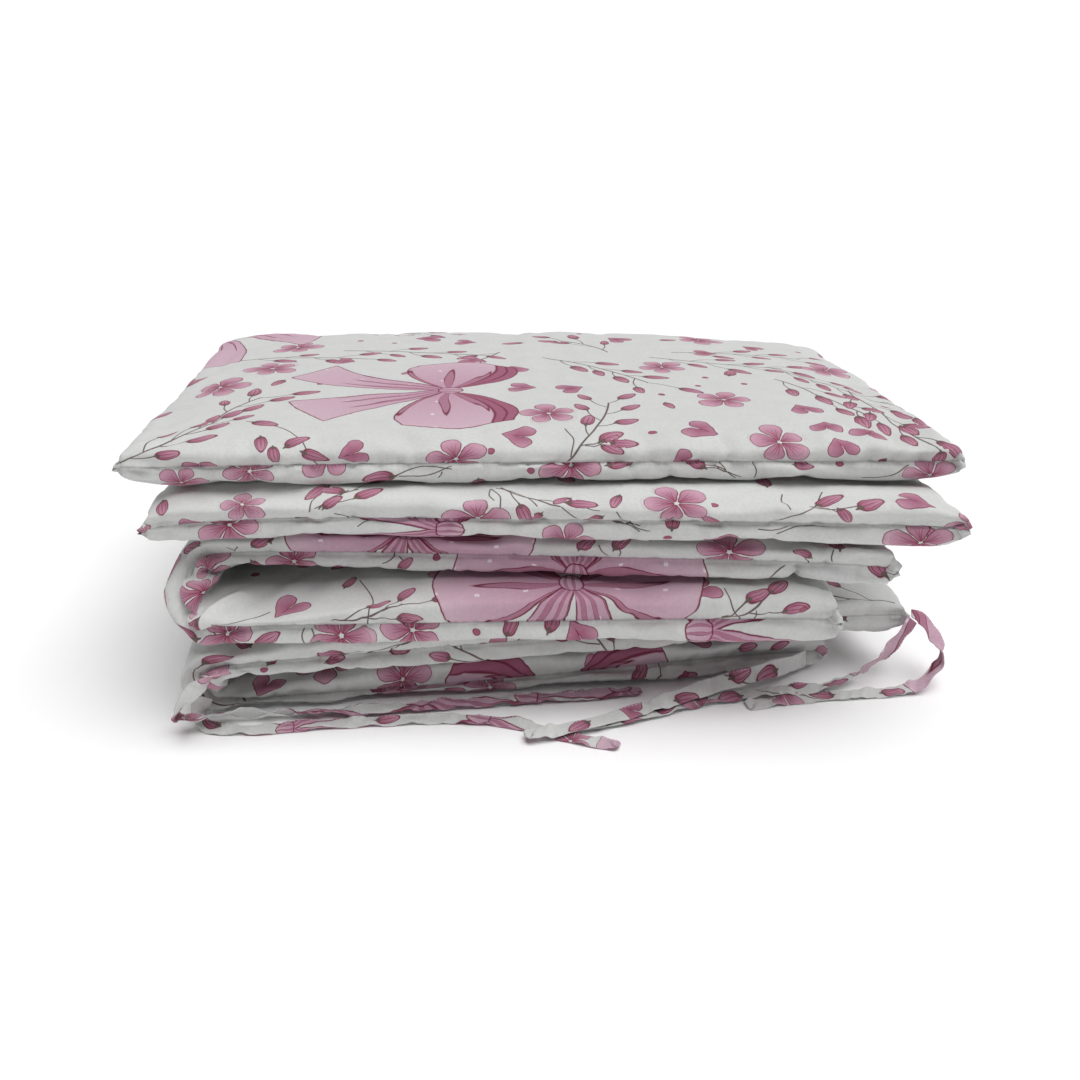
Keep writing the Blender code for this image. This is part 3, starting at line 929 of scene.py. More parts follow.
def printed_cotton(name):
    """Off-white plain-weave cotton, block-printed in pinks: matt, a little mottled, with painted
    shade along its seams.
    """
    made, shader = plain_material(name, 0.88, 0.25)
    tree, maths = made.node_tree, maths_in(made.node_tree)

    def split(vector):
        return add(tree, "ShaderNodeSeparateXYZ", vector).node.outputs

    def carried(attribute):
        found = add(tree, "ShaderNodeAttribute", attribute_name=attribute).node
        return split(found.outputs["Vector"])

    def mixed(share, below, above):
        values = [hex_colour(v) if isinstance(v, str) else v for v in (below, above)]
        return add(tree, MIX, share, *values, data_type="RGBA")

    def both(*shares):
        found = shares[0]
        for share in shares[1:]:
            found = maths("MULTIPLY", found, share)
        return found

    def line_at(value, half, soft):
        return step_down(tree, maths("ABSOLUTE", value), half, soft)

    cloth_map = tree.nodes.new("ShaderNodeUVMap")
    cloth_map.uv_map = "cloth"
    cloth_at = cloth_map.outputs[0]

    def noise(scale, detail=2.0):
        return add(tree, "ShaderNodeTexNoise", cloth_at, scale, detail, 0.5,
                   noise_dimensions="2D")

    # bare cloth, and how unevenly the ink is laid
    wobble = maths("MULTIPLY_ADD", noise(160.0, 1.0), 1.4, -0.7)
    blotch = noise(55.0)
    ink = noise(380.0)
    colour = mixed(blotch, CLOTH_SHADE, CLOTH_LIGHT)

    # stems: thin brown lines
    one, two, _ = carried("stem")
    thin = maths("MINIMUM", maths("ABSOLUTE", one), maths("ABSOLUTE", two))
    colour = mixed(step_down(tree, thin, 1.0, 0.45), colour, STEM)

    # buds: an egg with two stripes at each side, and a small cup at its foot
    x, y, on = carried("bud")
    along = maths("MULTIPLY_ADD", y, 1 / 9.6, -1.0)
    wide = maths("MULTIPLY_ADD", along, -0.9, 4.7)
    edge = maths("DIVIDE", x, wide)
    edge = maths("MULTIPLY_ADD", edge, edge, maths("MULTIPLY", along, along))
    edge = maths("MULTIPLY_ADD", maths("SQRT", edge), 4.4, -4.4)
    edge = maths("ADD", edge, maths("MULTIPLY", wobble, 0.6))
    belly = maths("SUBTRACT", 1.15, maths("MULTIPLY", along, along))
    stripe = maths("DIVIDE", maths("ABSOLUTE", x), maths("MULTIPLY", wide, belly))
    stripe = maths("MINIMUM", maths("ABSOLUTE", maths("ADD", stripe, -0.55)), stripe)
    fill = mixed(maths("MULTIPLY", y, 0.05), PETAL_DARK, PETAL)
    fill = mixed(maths("MULTIPLY", line_at(stripe, 0.07, 0.06), 0.85), fill, DEEP_ROSE)
    fill = mixed(step_down(tree, maths("ABSOLUTE", edge), 0.5, 0.35), fill, OUTLINE)
    colour = mixed(both(step_down(tree, edge, 0.2, 0.3), on), colour, fill)
    calyx = drop_distance(tree, x, maths("ADD", y, 2.0), 0.5, 1.6, 4.0)
    colour = mixed(both(step_down(tree, calyx, 0.0, 0.3), on), colour, STEM)

    # flowers of five petals with veins and an eye, hearts and dots
    x, y, code = carried("bloom")
    kind = maths("FLOOR", code)
    own = maths("FRACT", code)
    away = maths("SQRT", maths("MULTIPLY_ADD", x, x, maths("MULTIPLY", y, y)))
    turn = maths("MULTIPLY", maths("ARCTAN2", x, y), 5 / math.tau)
    petal = maths("ROUND", turn)
    turn = maths("MULTIPLY", maths("SUBTRACT", turn, petal), math.tau / 5)
    chance = add(tree, "ShaderNodeTexWhiteNoise", maths("MULTIPLY_ADD", own, 37.0, petal),
                 noise_dimensions="1D")
    grown = maths("MULTIPLY_ADD", chance, -0.28, 1.18)
    across = maths("MULTIPLY", maths("MULTIPLY", away, maths("SINE", turn)), grown)
    out = maths("MULTIPLY", maths("MULTIPLY", away, maths("COSINE", turn)), grown)
    flower = drop_distance(tree, across, maths("ADD", out, -3.5), 1.8, 8.2, 12.0)
    low = maths("ADD", y, 12.0)
    aside = maths("ABSOLUTE", x)
    lean = math.radians(25)
    heart_x = maths("MULTIPLY_ADD", aside, math.cos(lean), maths("MULTIPLY", low, -math.sin(lean)))
    heart_y = maths("MULTIPLY_ADD", aside, math.sin(lean), maths("MULTIPLY", low, math.cos(lean)))
    heart = drop_distance(tree, heart_x, heart_y, 0.8, 6.6, 17.0)
    dot = maths("SUBTRACT", away, 2.7)
    is_flower = both(maths("GREATER_THAN", kind, 0.5), maths("LESS_THAN", kind, 1.5))
    is_dot = maths("GREATER_THAN", kind, 2.5)
    edge = add(tree, MIX, is_flower, heart, flower, data_type="FLOAT")
    edge = add(tree, MIX, is_dot, edge, dot, data_type="FLOAT")
    edge = maths("ADD", edge, wobble)
    fill = mixed(maths("MULTIPLY_ADD", out, 0.055, -0.10), PETAL_DARK, PETAL)
    vein = maths("ABSOLUTE", across)
    bent = maths("MULTIPLY_ADD", maths("MULTIPLY", out, out), 0.014, 0.3)
    vein = maths("MINIMUM", vein, maths("ABSOLUTE", maths("SUBTRACT", vein, bent)))
    vein = both(line_at(vein, 0.28, 0.3), step_down(tree, out, 14.0, 4.0), is_flower)
    fill = mixed(maths("MULTIPLY", vein, 0.9), fill, DEEP_ROSE)
    eye = both(step_down(tree, away, 2.6, 0.3), is_flower)
    fill = mixed(eye, fill, DEEP_ROSE)
    fill = mixed(both(step_down(tree, away, 1.6, 0.3), is_flower), fill, EYE)
    rim = mixed(is_dot, OUTLINE, DEEP_ROSE)
    fill = mixed(step_down(tree, maths("ABSOLUTE", edge), 0.5, 0.35), fill, rim)
    shown = both(step_down(tree, edge, 0.2, 0.3), maths("GREATER_THAN", kind, 0.5))
    colour = mixed(shown, colour, fill)

    # bows, part over part: folds along them, a turned-over edge on the loops, light flecks
    for layer in ("bow_tail", "bow_loop", "bow_knot"):
        s, t, gap = carried(layer)
        edge = maths("ADD", gap, maths("MULTIPLY", wobble, 0.6))
        place = add(tree, "ShaderNodeCombineXYZ", maths("MULTIPLY", s, 1.1),
                    maths("MULTIPLY", t, 6.5))
        bent = add(tree, "ShaderNodeTexNoise", place, 1.0, 1.0, 0.4, noise_dimensions="2D")
        folds = maths("SINE", maths("MULTIPLY_ADD", t, 17.0, maths("MULTIPLY", bent, 3.0)))
        reach = maths("MULTIPLY_ADD", s, 1.9, -0.25)
        if layer == "bow_knot":
            reach = 0.4
        folds = maths("SUBTRACT", reach, folds)
        fill = mixed(s, BOW_SHADE, BOW)
        fill = mixed(maths("MULTIPLY", step_down(tree, folds, 0.0, 0.08), 0.7), fill, PETAL_DARK)
        fill = mixed(line_at(folds, 0.07, 0.06), fill, OUTLINE)
        if layer == "bow_loop":
            turned_over = maths("GREATER_THAN", t, 0.80)
            fill = mixed(turned_over, fill, PETAL_DARK)
            fill = mixed(line_at(maths("ADD", t, -0.80), 0.012, 0.010), fill, OUTLINE)
            fill = mixed(line_at(maths("ADD", t, -0.90), 0.010, 0.008), fill, OUTLINE)
        dashes = maths("GREATER_THAN", maths("FRACT", maths("MULTIPLY", s, 3.0)), 0.9)
        dashes = both(dashes, line_at(maths("ADD", t, -0.3), 0.014, 0.01))
        fill = mixed(dashes, fill, EYE)
        fill = mixed(line_at(edge, 0.65, 0.4), fill, OUTLINE)
        colour = mixed(step_down(tree, edge, 0.25, 0.3), colour, fill)

    # the seam's dark line, which is painted shade in its crease, and puckers, then the weave with
    # its slubs
    to_seam, along_seam, _ = carried("seam")
    near = step_down(tree, to_seam, 5.0, 6.0)
    pucker_at = add(tree, "ShaderNodeCombineXYZ", maths("MULTIPLY", along_seam, 0.19),
                    maths("MULTIPLY", to_seam, 0.05))
    pucker = add(tree, "ShaderNodeTexNoise", pucker_at, 1.0, 2.0, 0.55, noise_dimensions="2D")
    # painted shade: the colour is darkened by about a third within a millimetre of the seam, as the
    # shadow in its crease
    seam_painted_shade = maths("MULTIPLY", step_down(tree, to_seam, 0.3, 0.55), -0.34)
    ink_mottle_and_seam_shade = maths("ADD", maths("MULTIPLY_ADD", ink, 0.16, 0.92), seam_painted_shade)
    lit = tree.nodes.new("ShaderNodeVectorMath")
    lit.operation = "SCALE"
    tree.links.new(colour, lit.inputs[0])
    tree.links.new(ink_mottle_and_seam_shade, lit.inputs["Scale"])
    tree.links.new(lit.outputs[0], shader.inputs["Base Color"])
    shader.inputs["Sheen Weight"].default_value = 0.12
    shader.inputs["Sheen Roughness"].default_value = 0.5
    weave = add(tree, "ShaderNodeVectorMath", cloth_at, (1000 * math.tau / THREAD,) * 3,
                operation="MULTIPLY")
    warp, weft, _ = split(weave)
    threads = maths("MULTIPLY", maths("SINE", warp), maths("SINE", weft))
    slubs = maths("MULTIPLY_ADD", noise(900.0, 3.0), 1.2, threads)
    ripples = maths("MULTIPLY", noise(26.0, 3.0), RIPPLE_RELIEF)
    soft = maths("MULTIPLY_ADD", both(pucker, near), PUCKER_RELIEF, ripples)
    relief = maths("MULTIPLY_ADD", slubs, WEAVE_RELIEF, soft)
    bump = tree.nodes.new("ShaderNodeBump")
    bump.inputs["Strength"].default_value = 1.0
    bump.inputs["Distance"].default_value = MM
    tree.links.new(relief, bump.inputs["Height"])
    tree.links.new(bump.outputs[0], shader.inputs["Normal"])
    return made


def dressed(name, cloth, node, layout, seed):
    """The finished cloth of a pad as an object that stands for its solid."""
    mesh = cloth.mesh(name)
    mesh.shade_smooth()
    upper, lower, size = cloth.flat_faces()
    printed(mesh, [(upper, layout[0], size), (lower, layout[1], size)], seed)
    mesh.materials.append(cotton)
    pad = placed(name, mesh)
    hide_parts(node)
    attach(pad, "root")


cotton = printed_cotton("printed plain-weave cotton")
TOP_MOTIFS = (
    # Of the upper panel, then of the lower one. A bow, flower, heart or dot has its x, y, turn
    # and size, a bud its foot, turn and length, a stem its two ends, and a sprig its two ends,
    # bend and number of buds, in mm and degrees on the flat cloth.
    (
        ("bow", 246, 137, -90, 165), ("bow", 2, 398, 40, 165), ("flower", 89, 221, 20, 46),
        ("flower", 99, 304, 50, 44), ("flower", 323, 73, 8, 45), ("flower", 464, 109, -15, 47),
        ("flower", 487, 22, 12, 44), ("flower", 429, 211, 30, 42), ("flower", 483, 339, -30, 42),
        ("flower", 579, 227, 10, 42), ("flower", 253, 5, 14, 46), ("heart", 262, 237, 75, 26),
        ("heart", 304, 147, 80, 27), ("heart", 432, 38, 62, 30), ("heart", 477, 272, 85, 26),
        ("dot", 138, 163, 0, 6), ("dot", 163, 173, 0, 6), ("dot", 278, 13, 0, 6),
        ("dot", 461, 176, 0, 6), ("dot", 416, 121, 0, 6), ("dot", 490, 157, 0, 6),
        ("dot", 218, 217, 0, 6), ("sprig", (70, 67), (96, 128), 10, 5),
        ("stem", (96, 64), (154, 0)), ("bud", 102, 61, -117, 23), ("bud", 131, 19, -51, 21),
        ("bud", 144, 13, -113, 21), ("bud", 112, 32, -171, 19), ("bud", 122, 19, -170, 17),
        ("sprig", (333, 1), (371, 99), -14, 7), ("stem", (342, 16), (365, 25)),
        ("bud", 358, 22, -50, 23), ("bud", 365, 22, -98, 22), ("bud", 358, 19, -118, 19),
        ("stem", (336, 7), (333, 41)), ("sprig", (326, 249), (410, 157), 12, 8),
        ("sprig", (387, 269), (346, 316), -12, 5), ("sprig", (423, 249), (535, 217), -10, 7),
        ("sprig", (525, 221), (608, 128), -10, 9), ("sprig", (579, 160), (595, 19), -14, 7),
        ("sprig", (519, 176), (541, 131), 6, 3), ("heart", 522, 86, 200, 27),
        ("heart", 528, 48, 170, 25), ("heart", 531, 16, 190, 24), ("heart", 557, 38, 150, 27),
        ("sprig", (541, 131), (570, 70), 6, 4), ("sprig", (445, 269), (567, 275), 8, 6),
        ("bud", 16, 201, -62, 21), ("bud", 16, 93, -39, 21), ("bud", 16, 201, 0, 23),
        ("sprig", (144, 281), (269, 256), 6, 6), ("heart", 256, 313, 80, 24),
        ("sprig", (51, 265), (170, 246), 5, 5), ("heart", 150, 240, 70, 22),
        ("sprig", (288, 272), (246, 208), 8, 3), ("bud", 589, 61, -171, 23),
        ("bud", 605, 77, -175, 23), ("sprig", (10, 2), (74, 72), -16, 8),
    ),
    (
        ("flower", 106, 5, 10, 42), ("bud", 208, 10, 83, 23), ("stem", (208, 10), (250, 5)),
        ("flower", 336, 2, -8, 46), ("stem", (432, 5), (448, 10)), ("stem", (439, 2), (451, 10)),
        ("bud", 496, 2, -81, 15), ("flower", 592, 13, 25, 40), ("flower", 57, 16, 60, 34),
        ("dot", 307, 7, 0, 6), ("stem", (243, 7), (240, 13)), ("bud", 362, 2, -103, 21),
        ("bud", 432, 5, -231, 21), ("bud", 269, 16, 0, 21), ("stem", (429, 1), (455, 16)),
        ("stem", (443, 0), (458, 14)), ("stem", (467, 0), (468, 16)),
        ("stem", (545, 16), (579, 2)), ("stem", (54, 19), (70, 19)),
        ("stem", (211, 10), (250, 2)),
    ),
)

TOP_CREASES = (
    # of the upper panel, then of the lower one: from, to, depth and width, in mm on the cloth
    (
        (584, 6, 556, 66, 2.4, 6), (566, 3, 574, 44, 1.8, 4), (548, 3, 540, 40, 1.6, 5),
        (110, 2, 103, 26, 2.6, 3.5), (352, 3, 355, 24, 2.0, 3), (28, 14, 70, 40, 1.8, 5),
        (16, 30, 60, 70, 1.6, 5), (450, 3, 446, 26, 1.8, 3.5), (250, 3, 262, 20, 1.6, 3),
        (520, 40, 585, 150, 1.2, 12), (180, 60, 300, 30, 0.8, 16),
    ),
    ((150, 2, 156, 18, 1.8, 3), (330, 2, 322, 20, 1.8, 3), (500, 2, 508, 20, 2.2, 3.5)),
)
gathered(top_pad, neighbours("short_pad_second"), 1, TOP_CREASES)
dressed("top_short_pad", top_pad, "short_pad_top", TOP_MOTIFS, 1)

# ---- Second short pad ------------------------------------------------------------------
# The same pad again, sewn of the same cotton and filled with the same wadding, but pressed
# flat by the weight of the first. Its front corners stick out to both sides.

second_pad = PadCloth(
    flat_pad_nets(4, ((-282, 2), (290, -62), (-262, 392), (303, 334)), (6, -4), LAYER / 2),
    CLOTH_SPACING,
)
gathered(second_pad, neighbours("short_pad_top", "long_pad_upper"), 2)
SECOND_MOTIFS = (
    # of the upper panel, then of the lower one
    (
        ("flower", 84, 18, 10, 36), ("bud", 141, 42, -219, 23), ("bud", 141, 13, -45, 18),
        ("sprig", (138, 13), (163, 35), 5, 2), ("bud", 25, 32, -168, 19),
        ("stem", (256, 42), (263, 13)), ("sprig", (263, 42), (304, 16), -6, 3),
        ("flower", 384, 22, 20, 46), ("bud", 346, 32, -201, 17), ("dot", 410, 22, 0, 6),
        ("stem", (448, 2), (490, 45)), ("bud", 481, 26, -61, 23), ("bud", 506, 19, -61, 23),
        ("bud", 493, 19, -153, 16), ("heart", 545, 29, 60, 28), ("bud", 311, 29, -232, 16),
        ("stem", (311, 26), (330, 13)), ("stem", (147, 7), (157, 0)), ("flower", 247, 0, 5, 46),
        ("bud", 291, 10, -225, 15), ("bud", 333, 7, -239, 15), ("bud", 413, 2, 58, 15),
        ("bud", 154, 32, 75, 21), ("bud", 452, 51, 0, 21), ("bud", 122, 0, -110, 21),
        ("stem", (461, 16), (461, 42)), ("stem", (474, 24), (509, 22)),
        ("stem", (477, 24), (493, 14)), ("stem", (141, 35), (131, 10)),
        ("stem", (157, 35), (134, 13)), ("stem", (256, 42), (259, 22)),
        ("stem", (259, 42), (288, 16)), ("stem", (343, 12), (352, 0)),
    ),
    (
        ("stem", (349, 1), (359, 4)), ("flower", 548, 16, 30, 46), ("stem", (461, 2), (439, 5)),
        ("bow", 227, 10, -90, 165), ("dot", 378, 16, 0, 6), ("bud", 381, 7, -174, 21),
        ("stem", (340, 0), (359, 9)), ("stem", (352, 0), (365, 9)), ("stem", (452, 10), (487, 2)),
        ("stem", (180, 0), (163, 8)),
    ),
)

dressed("second_short_pad", second_pad, "short_pad_second", SECOND_MOTIFS, 2)

# ---- Upper long pad --------------------------------------------------------------------
# A pad of about one metre, folded in half with the fold at the left. Its outer panel goes
# round the fold, and its inner panel bulges into it.


FOLD_BULGE = 9  # mm that the inner panel bulges at the fold
BELLY_GROWS, BELLY_ENDS, BELLY_FADES = 8, 26, 22  # mm from the front seam of the sagging belly
BELLY_FROM, BELLY_OVER = 240, 110  # mm from the fold
LIFT_FROM, LIFT_OVER = -20, 190  # x from which the lowest seam lifts, and mm until it is full
SPREAD, SPREAD_ENDS, SPREAD_FADES = 13, 30, 24  # mm that the lowest cloth is pressed forward
SPREAD_FROM, SPREAD_OVER, SPREAD_TO, SPREAD_OUT = -20, 130, 228, 25  # in x


def folded_pad_nets(low, high, fold_x):
    """Nets of a folded pad's outer and inner panel, each half from its own sizes."""
    low_seam, high_seam = SEAM_HEIGHTS[low["layer"]], SEAM_HEIGHTS[high["layer"]]
    radius = (high_seam - low_seam) / 2
    low_run, high_run = low["end_x"] - fold_x, high["end_x"] - fold_x
    bend = math.pi * radius
    length = low_run + bend + high_run

    low_rows = rows_over(low_run * 2)
    low_rows = low_rows[low_rows[:, 0] < low_run - ROW_PITCH / 3]
    high_rows = rows_over(high_run * 2)
    high_rows = high_rows[high_rows[:, 0] > high_run + ROW_PITCH / 3]
    high_rows[:, :2] += length - 2 * high_run
    places = low_run + bend * np.arange(7) / 6
    fold_rows = np.stack([places, places, np.ones(7), np.ones(7)], 1)
    columns = np.concatenate([low_rows, fold_rows, high_rows])

    tips = (low["tip"], high["tip"])
    along, across, rise, low_rise = crossings(columns, rows_over(PAD_WIDTH), length, tips)
    turn = np.clip((along - low_run) / radius, 0, math.pi)
    straight = np.maximum(np.maximum(low_run - along, along - low_run - bend), 0)
    in_low = turn < math.pi / 2
    to_fold = straight + radius * np.minimum(turn, math.pi - turn)
    in_fold = smooth(np.minimum(turn, math.pi - turn) / (math.pi / 2))

    def of_half(key):
        return np.where(in_low, low[key], high[key])

    outer = of_half("outer") + (LAYER / 2 - of_half("outer")) * in_fold
    under_front = smooth(across / BELLY_GROWS) * smooth((BELLY_ENDS - across) / BELLY_FADES)
    off_fold = smooth((to_fold - BELLY_FROM) / BELLY_OVER)
    outer = outer + of_half("belly") * under_front * off_fold
    outer = outer * np.where(in_low & (low["layer"] == 0), low_rise, rise)
    closed = smooth(to_fold / of_half("closes"))
    inner = -(FOLD_BULGE + (of_half("inner") - FOLD_BULGE) * closed) * rise
    nets = []
    for out in (outer, inner):
        x = fold_x + straight - (radius + out) * np.sin(turn)
        z = low_seam + radius - (radius + out) * np.cos(turn)
        near_seam = 1 - np.clip(low_rise if out is outer else rise, 0, 1)
        lift = low["seam_lift"] * near_seam * np.where(in_low, 1, 0)
        z = z + lift * smooth((x - LIFT_FROM) / LIFT_OVER)
        share = smooth(turn / math.pi)
        low_front, high_front = low["front"] + low["slope"] * x, high["front"] + high["slope"] * x
        front = low_front + share * (high_front - low_front)
        lean = low["lean"] + share * (high["lean"] - low["lean"])
        spread = 0
        if out is outer and low["layer"] == 0:
            under = np.where(in_low, np.minimum(low_rise, 1), 0)
            under = under * smooth((SPREAD_ENDS - across) / SPREAD_FADES)
            spread = SPREAD * under * smooth((x - SPREAD_FROM) / SPREAD_OVER)
            spread = spread * smooth((SPREAD_TO - x) / SPREAD_OUT)
        nets.append(settled(x + lean * across, front + across - spread, z))
    return nets


upper_pad = PadCloth(
    folded_pad_nets(
        dict(layer=2, end_x=213, front=-43, slope=-0.045, lean=0.04, outer=LAYER / 2,
             inner=LAYER / 2 + FOLD_OPENING, closes=190, belly=6, seam_lift=0, tip=0.3),
        dict(layer=3, end_x=250, front=-18, slope=-0.128, lean=0.08, outer=LAYER / 2,
             inner=LAYER / 2, closes=80, belly=0, tip=0.6),
        -236,
    ),
    CLOTH_SPACING,
)
UPPER_CREASES = (
    # of the outer panel, then of the inner one
    (
        (486, 0, 452, 60, 2.2, 6), (524, 0, 560, 70, 2.2, 6), (505, 0, 506, 50, -1.6, 6),
        (470, 90, 520, 190, 1.4, 9), (545, 120, 500, 240, 1.2, 9),
    ),
    (
        (505, 0, 508, 120, -9, 13), (476, 0, 446, 46, -6, 9), (536, 0, 566, 46, -6, 9),
        (489, 2, 455, 60, 3.0, 3.5), (521, 2, 560, 62, 3.0, 3.5), (462, 4, 410, 80, 2.2, 6),
        (550, 4, 600, 60, 2.0, 5), (420, 20, 350, 110, 1.6, 9), (970, 2, 966, 22, 4.0, 3.5),
    ),
)
gathered(
    upper_pad, neighbours("short_pad_second", "long_pad_lower", "long_pad_upper"), 3,
    UPPER_CREASES,
)
UPPER_MOTIFS = (
    # of the outer panel, then of the inner one
    (
        ("bud", 470, 10, -60, 21), ("flower", 505, 34, 20, 44), ("bud", 540, 14, 40, 21),
        ("bud", 560, 40, -20, 21), ("sprig", (450, 60), (540, 120), 12, 6),
        ("bud", 590, 12, 30, 20), ("bud", 430, 14, 120, 20), ("flower", 919, 10, 5, 48),
        ("bud", 976, 7, 63, 15), ("flower", 370, 7, 10, 46), ("flower", 319, 4, -20, 44),
        ("dot", 274, 7, 0, 6), ("bow", 115, 7, -90, 160), ("bow", 690, 22, 0, 165),
        ("flower", 450, 5, 20, 40), ("heart", 201, 10, 30, 26), ("bud", 996, 13, 0, 21),
        ("bud", 577, 7, -48, 21), ("bud", 814, 7, -33, 21), ("bud", 839, 10, -35, 21),
        ("bud", 252, 10, -200, 21), ("bud", 223, 7, -204, 21), ("stem", (828, 14), (836, 1)),
        ("stem", (842, 12), (842, 1)), ("stem", (992, 13), (992, 1)),
        ("stem", (964, 10), (976, 0)), ("stem", (558, 8), (562, 1)), ("stem", (566, 8), (562, 2)),
        ("stem", (396, 1), (396, 14)), ("stem", (391, 1), (391, 14)),
        ("stem", (463, 1), (453, 9)), ("stem", (458, 1), (449, 11)),
    ),
    (
        ("flower", 540, 12, 10, 42), ("flower", 500, 16, 40, 40), ("bud", 470, 12, 200, 20),
        ("stem", (520, 30), (610, 46)), ("bud", 575, 8, -30, 20), ("flower", 606, 7, 10, 44),
        ("bud", 370, 48, 21, 17), ("bud", 683, 13, -135, 15), ("dot", 638, 13, 0, 6),
        ("bow", 812, 14, 0, 165), ("heart", 408, 32, 40, 30),
        ("sprig", (376, 4), (325, 19), 8, 4), ("bow", 205, 36, 0, 175),
        ("heart", 112, 25, 60, 28), ("sprig", (99, 1), (73, 13), 6, 3), ("dot", 44, 7, 0, 6),
        ("bud", 539, 2, -151, 21), ("stem", (960, 2), (945, 20)), ("stem", (67, 22), (80, 19)),
        ("stem", (97, 25), (86, 0)), ("stem", (77, 8), (76, 0)), ("stem", (683, 1), (692, 8)),
        ("stem", (680, 1), (672, 8)), ("stem", (459, 10), (421, 29)),
        ("stem", (360, 57), (351, 0)), ("stem", (514, 10), (498, 25)),
    ),
)

dressed("upper_long_pad", upper_pad, "long_pad_upper", UPPER_MOTIFS, 3)

# ---- Lower long pad --------------------------------------------------------------------
# The second long pad, folded in the same way. The weight of the stack spreads its lower
# half, and the ties are sewn into its seam.

lower_pad = PadCloth(
    folded_pad_nets(
        dict(layer=0, end_x=234, front=3, slope=0.070, lean=-0.055, outer=LOWEST_SEAM,
             inner=LAYER - LOWEST_SEAM, closes=90, belly=0, seam_lift=6, tip=0.5),
        dict(layer=1, end_x=296, front=-10, slope=0.085, lean=-0.070, outer=LAYER / 2,
             inner=LAYER / 2, closes=80, belly=0, tip=1),
        -230,
    ),
    CLOTH_SPACING,
)
LOWER_CREASES = (
    # of the outer panel, then of the inner one
    ((505, 0, 480, 60, 2.0, 6), (545, 0, 572, 60, 2.0, 6), (100, 2, 90, 24, 2.4, 4)),
    (
        (525, 0, 528, 100, -7, 12), (500, 2, 468, 60, 2.8, 4), (552, 2, 590, 60, 2.8, 4),
        (480, 6, 430, 90, 2.0, 7), (580, 6, 640, 80, 1.8, 7),
    ),
)
gathered(lower_pad, neighbours("long_pad_upper", "long_pad_lower"), 4, LOWER_CREASES)
LOWER_MOTIFS = (
    # of the outer panel, then of the inner one
    (
        ("flower", 281, 10, 15, 44), ("bud", 316, 10, 90, 16), ("bow", 358, 10, -90, 150),
    ),
    (
        ("bud", 616, 5, -107, 15), ("dot", 572, 7, 0, 6), ("heart", 450, 19, 30, 28),
        ("bud", 150, 10, -90, 23), ("bud", 83, 7, 79, 16), ("bud", 57, 5, 67, 15),
        ("flower", 348, 7, 10, 46), ("bow", 227, -28, 0, 165), ("heart", 195, 2, 20, 28),
        ("bud", 1019, 2, -223, 21), ("bud", 575, 1, -146, 21),
    ),
)

dressed("lower_long_pad", lower_pad, "long_pad_lower", LOWER_MOTIFS, 4)

# ---- Ties ------------------------------------------------------------------------------
# Narrow strips of the same cotton, folded lengthwise, turned in at the end and stitched
# along one edge with white thread. One end of each is sewn into the pad's seam.

TIE_WIDTH, TIE_THICK = 13.0, 1.1
TIES = {
    # x, y, z, roll
    "tie_end_high_a": (
        (296.8, 13.7, 47.3, 80), (289.5, 9, 38, 75), (278.5, 4, 28, 70), (265, 0, 17.5, 55),
        (249, -3, 10, 35), (230, -8, 5.2, 12), (205, -11, 3.4, 0), (175, -13, 3.4, 0),
        (145, -17, 3.4, 0), (112, -24, 3.4, 0), (80, -35, 3.4, 0), (48, -44, 3.4, 0),
        (16, -50, 3.4, 0),
    ),
    "tie_end_high_b": (
        (299.6, 21.8, 48.5, 10), (307.5, 18.5, 45, 35), (313, 11, 38, 50), (317, 3, 29, 40),
        (315, -5, 20, 20), (307, -11, 11.5, 5), (293, -16, 5, 0), (274, -18, 1.7, 0),
        (248, -19, 1.3, 0), (218, -20, 1.3, 0), (188, -23, 1.3, 0), (156, -28, 1.3, 0),
    ),
    "tie_end_low": (
        (216, 18.5, 13.0, -75), (203, 10, 14, -72), (185, 1.5, 15, -66), (163, -5, 13.5, -58),
        (139, -11, 11.5, -42), (110, -21, 9.0, -24), (78, -33, 7.0, -10), (45, -45, 5.6, 0),
        (14, -54, 5.4, 0), (-15, -60, 5.4, 0),
    ),
    "tie_fold_a": (
        (-226, -27.3, 49.6, 0), (-236, -34.5, 48.5, 40), (-246, -39, 43, 60),
        (-255, -39.5, 34, 50), (-262, -36.5, 24, 20), (-265, -32, 17.5, 0),
        (-257, -30.5, 13.8, -4), (-241, -24, 11, -38), (-220, -19.5, 8.8, -55),
        (-192, -18, 7, -44), (-160, -16, 5, -20), (-122, -14, 3.8, 0), (-80, -11, 3.4, 0),
        (-40, -9, 3.4, 0), (0, -7, 3.2, 0), (40, -5, 2.6, 0), (80, -1, 2.0, 0),
    ),
    "tie_fold_b": (
        (-248.6, -16.4, 22, 80), (-251.5, -18, 14, 70), (-252.5, -20, 6.0, 35),
        (-247, -24.5, 2.6, 5), (-234, -29, 1.4, 0), (-205, -31, 1.3, 0), (-165, -28, 1.3, 0),
        (-115, -27, 1.3, 0), (-68, -28, 1.3, 0), (-24, -37, 1.3, 0), (16, -58, 1.3, 0),
        (52, -73, 1.3, 0),
    ),
}


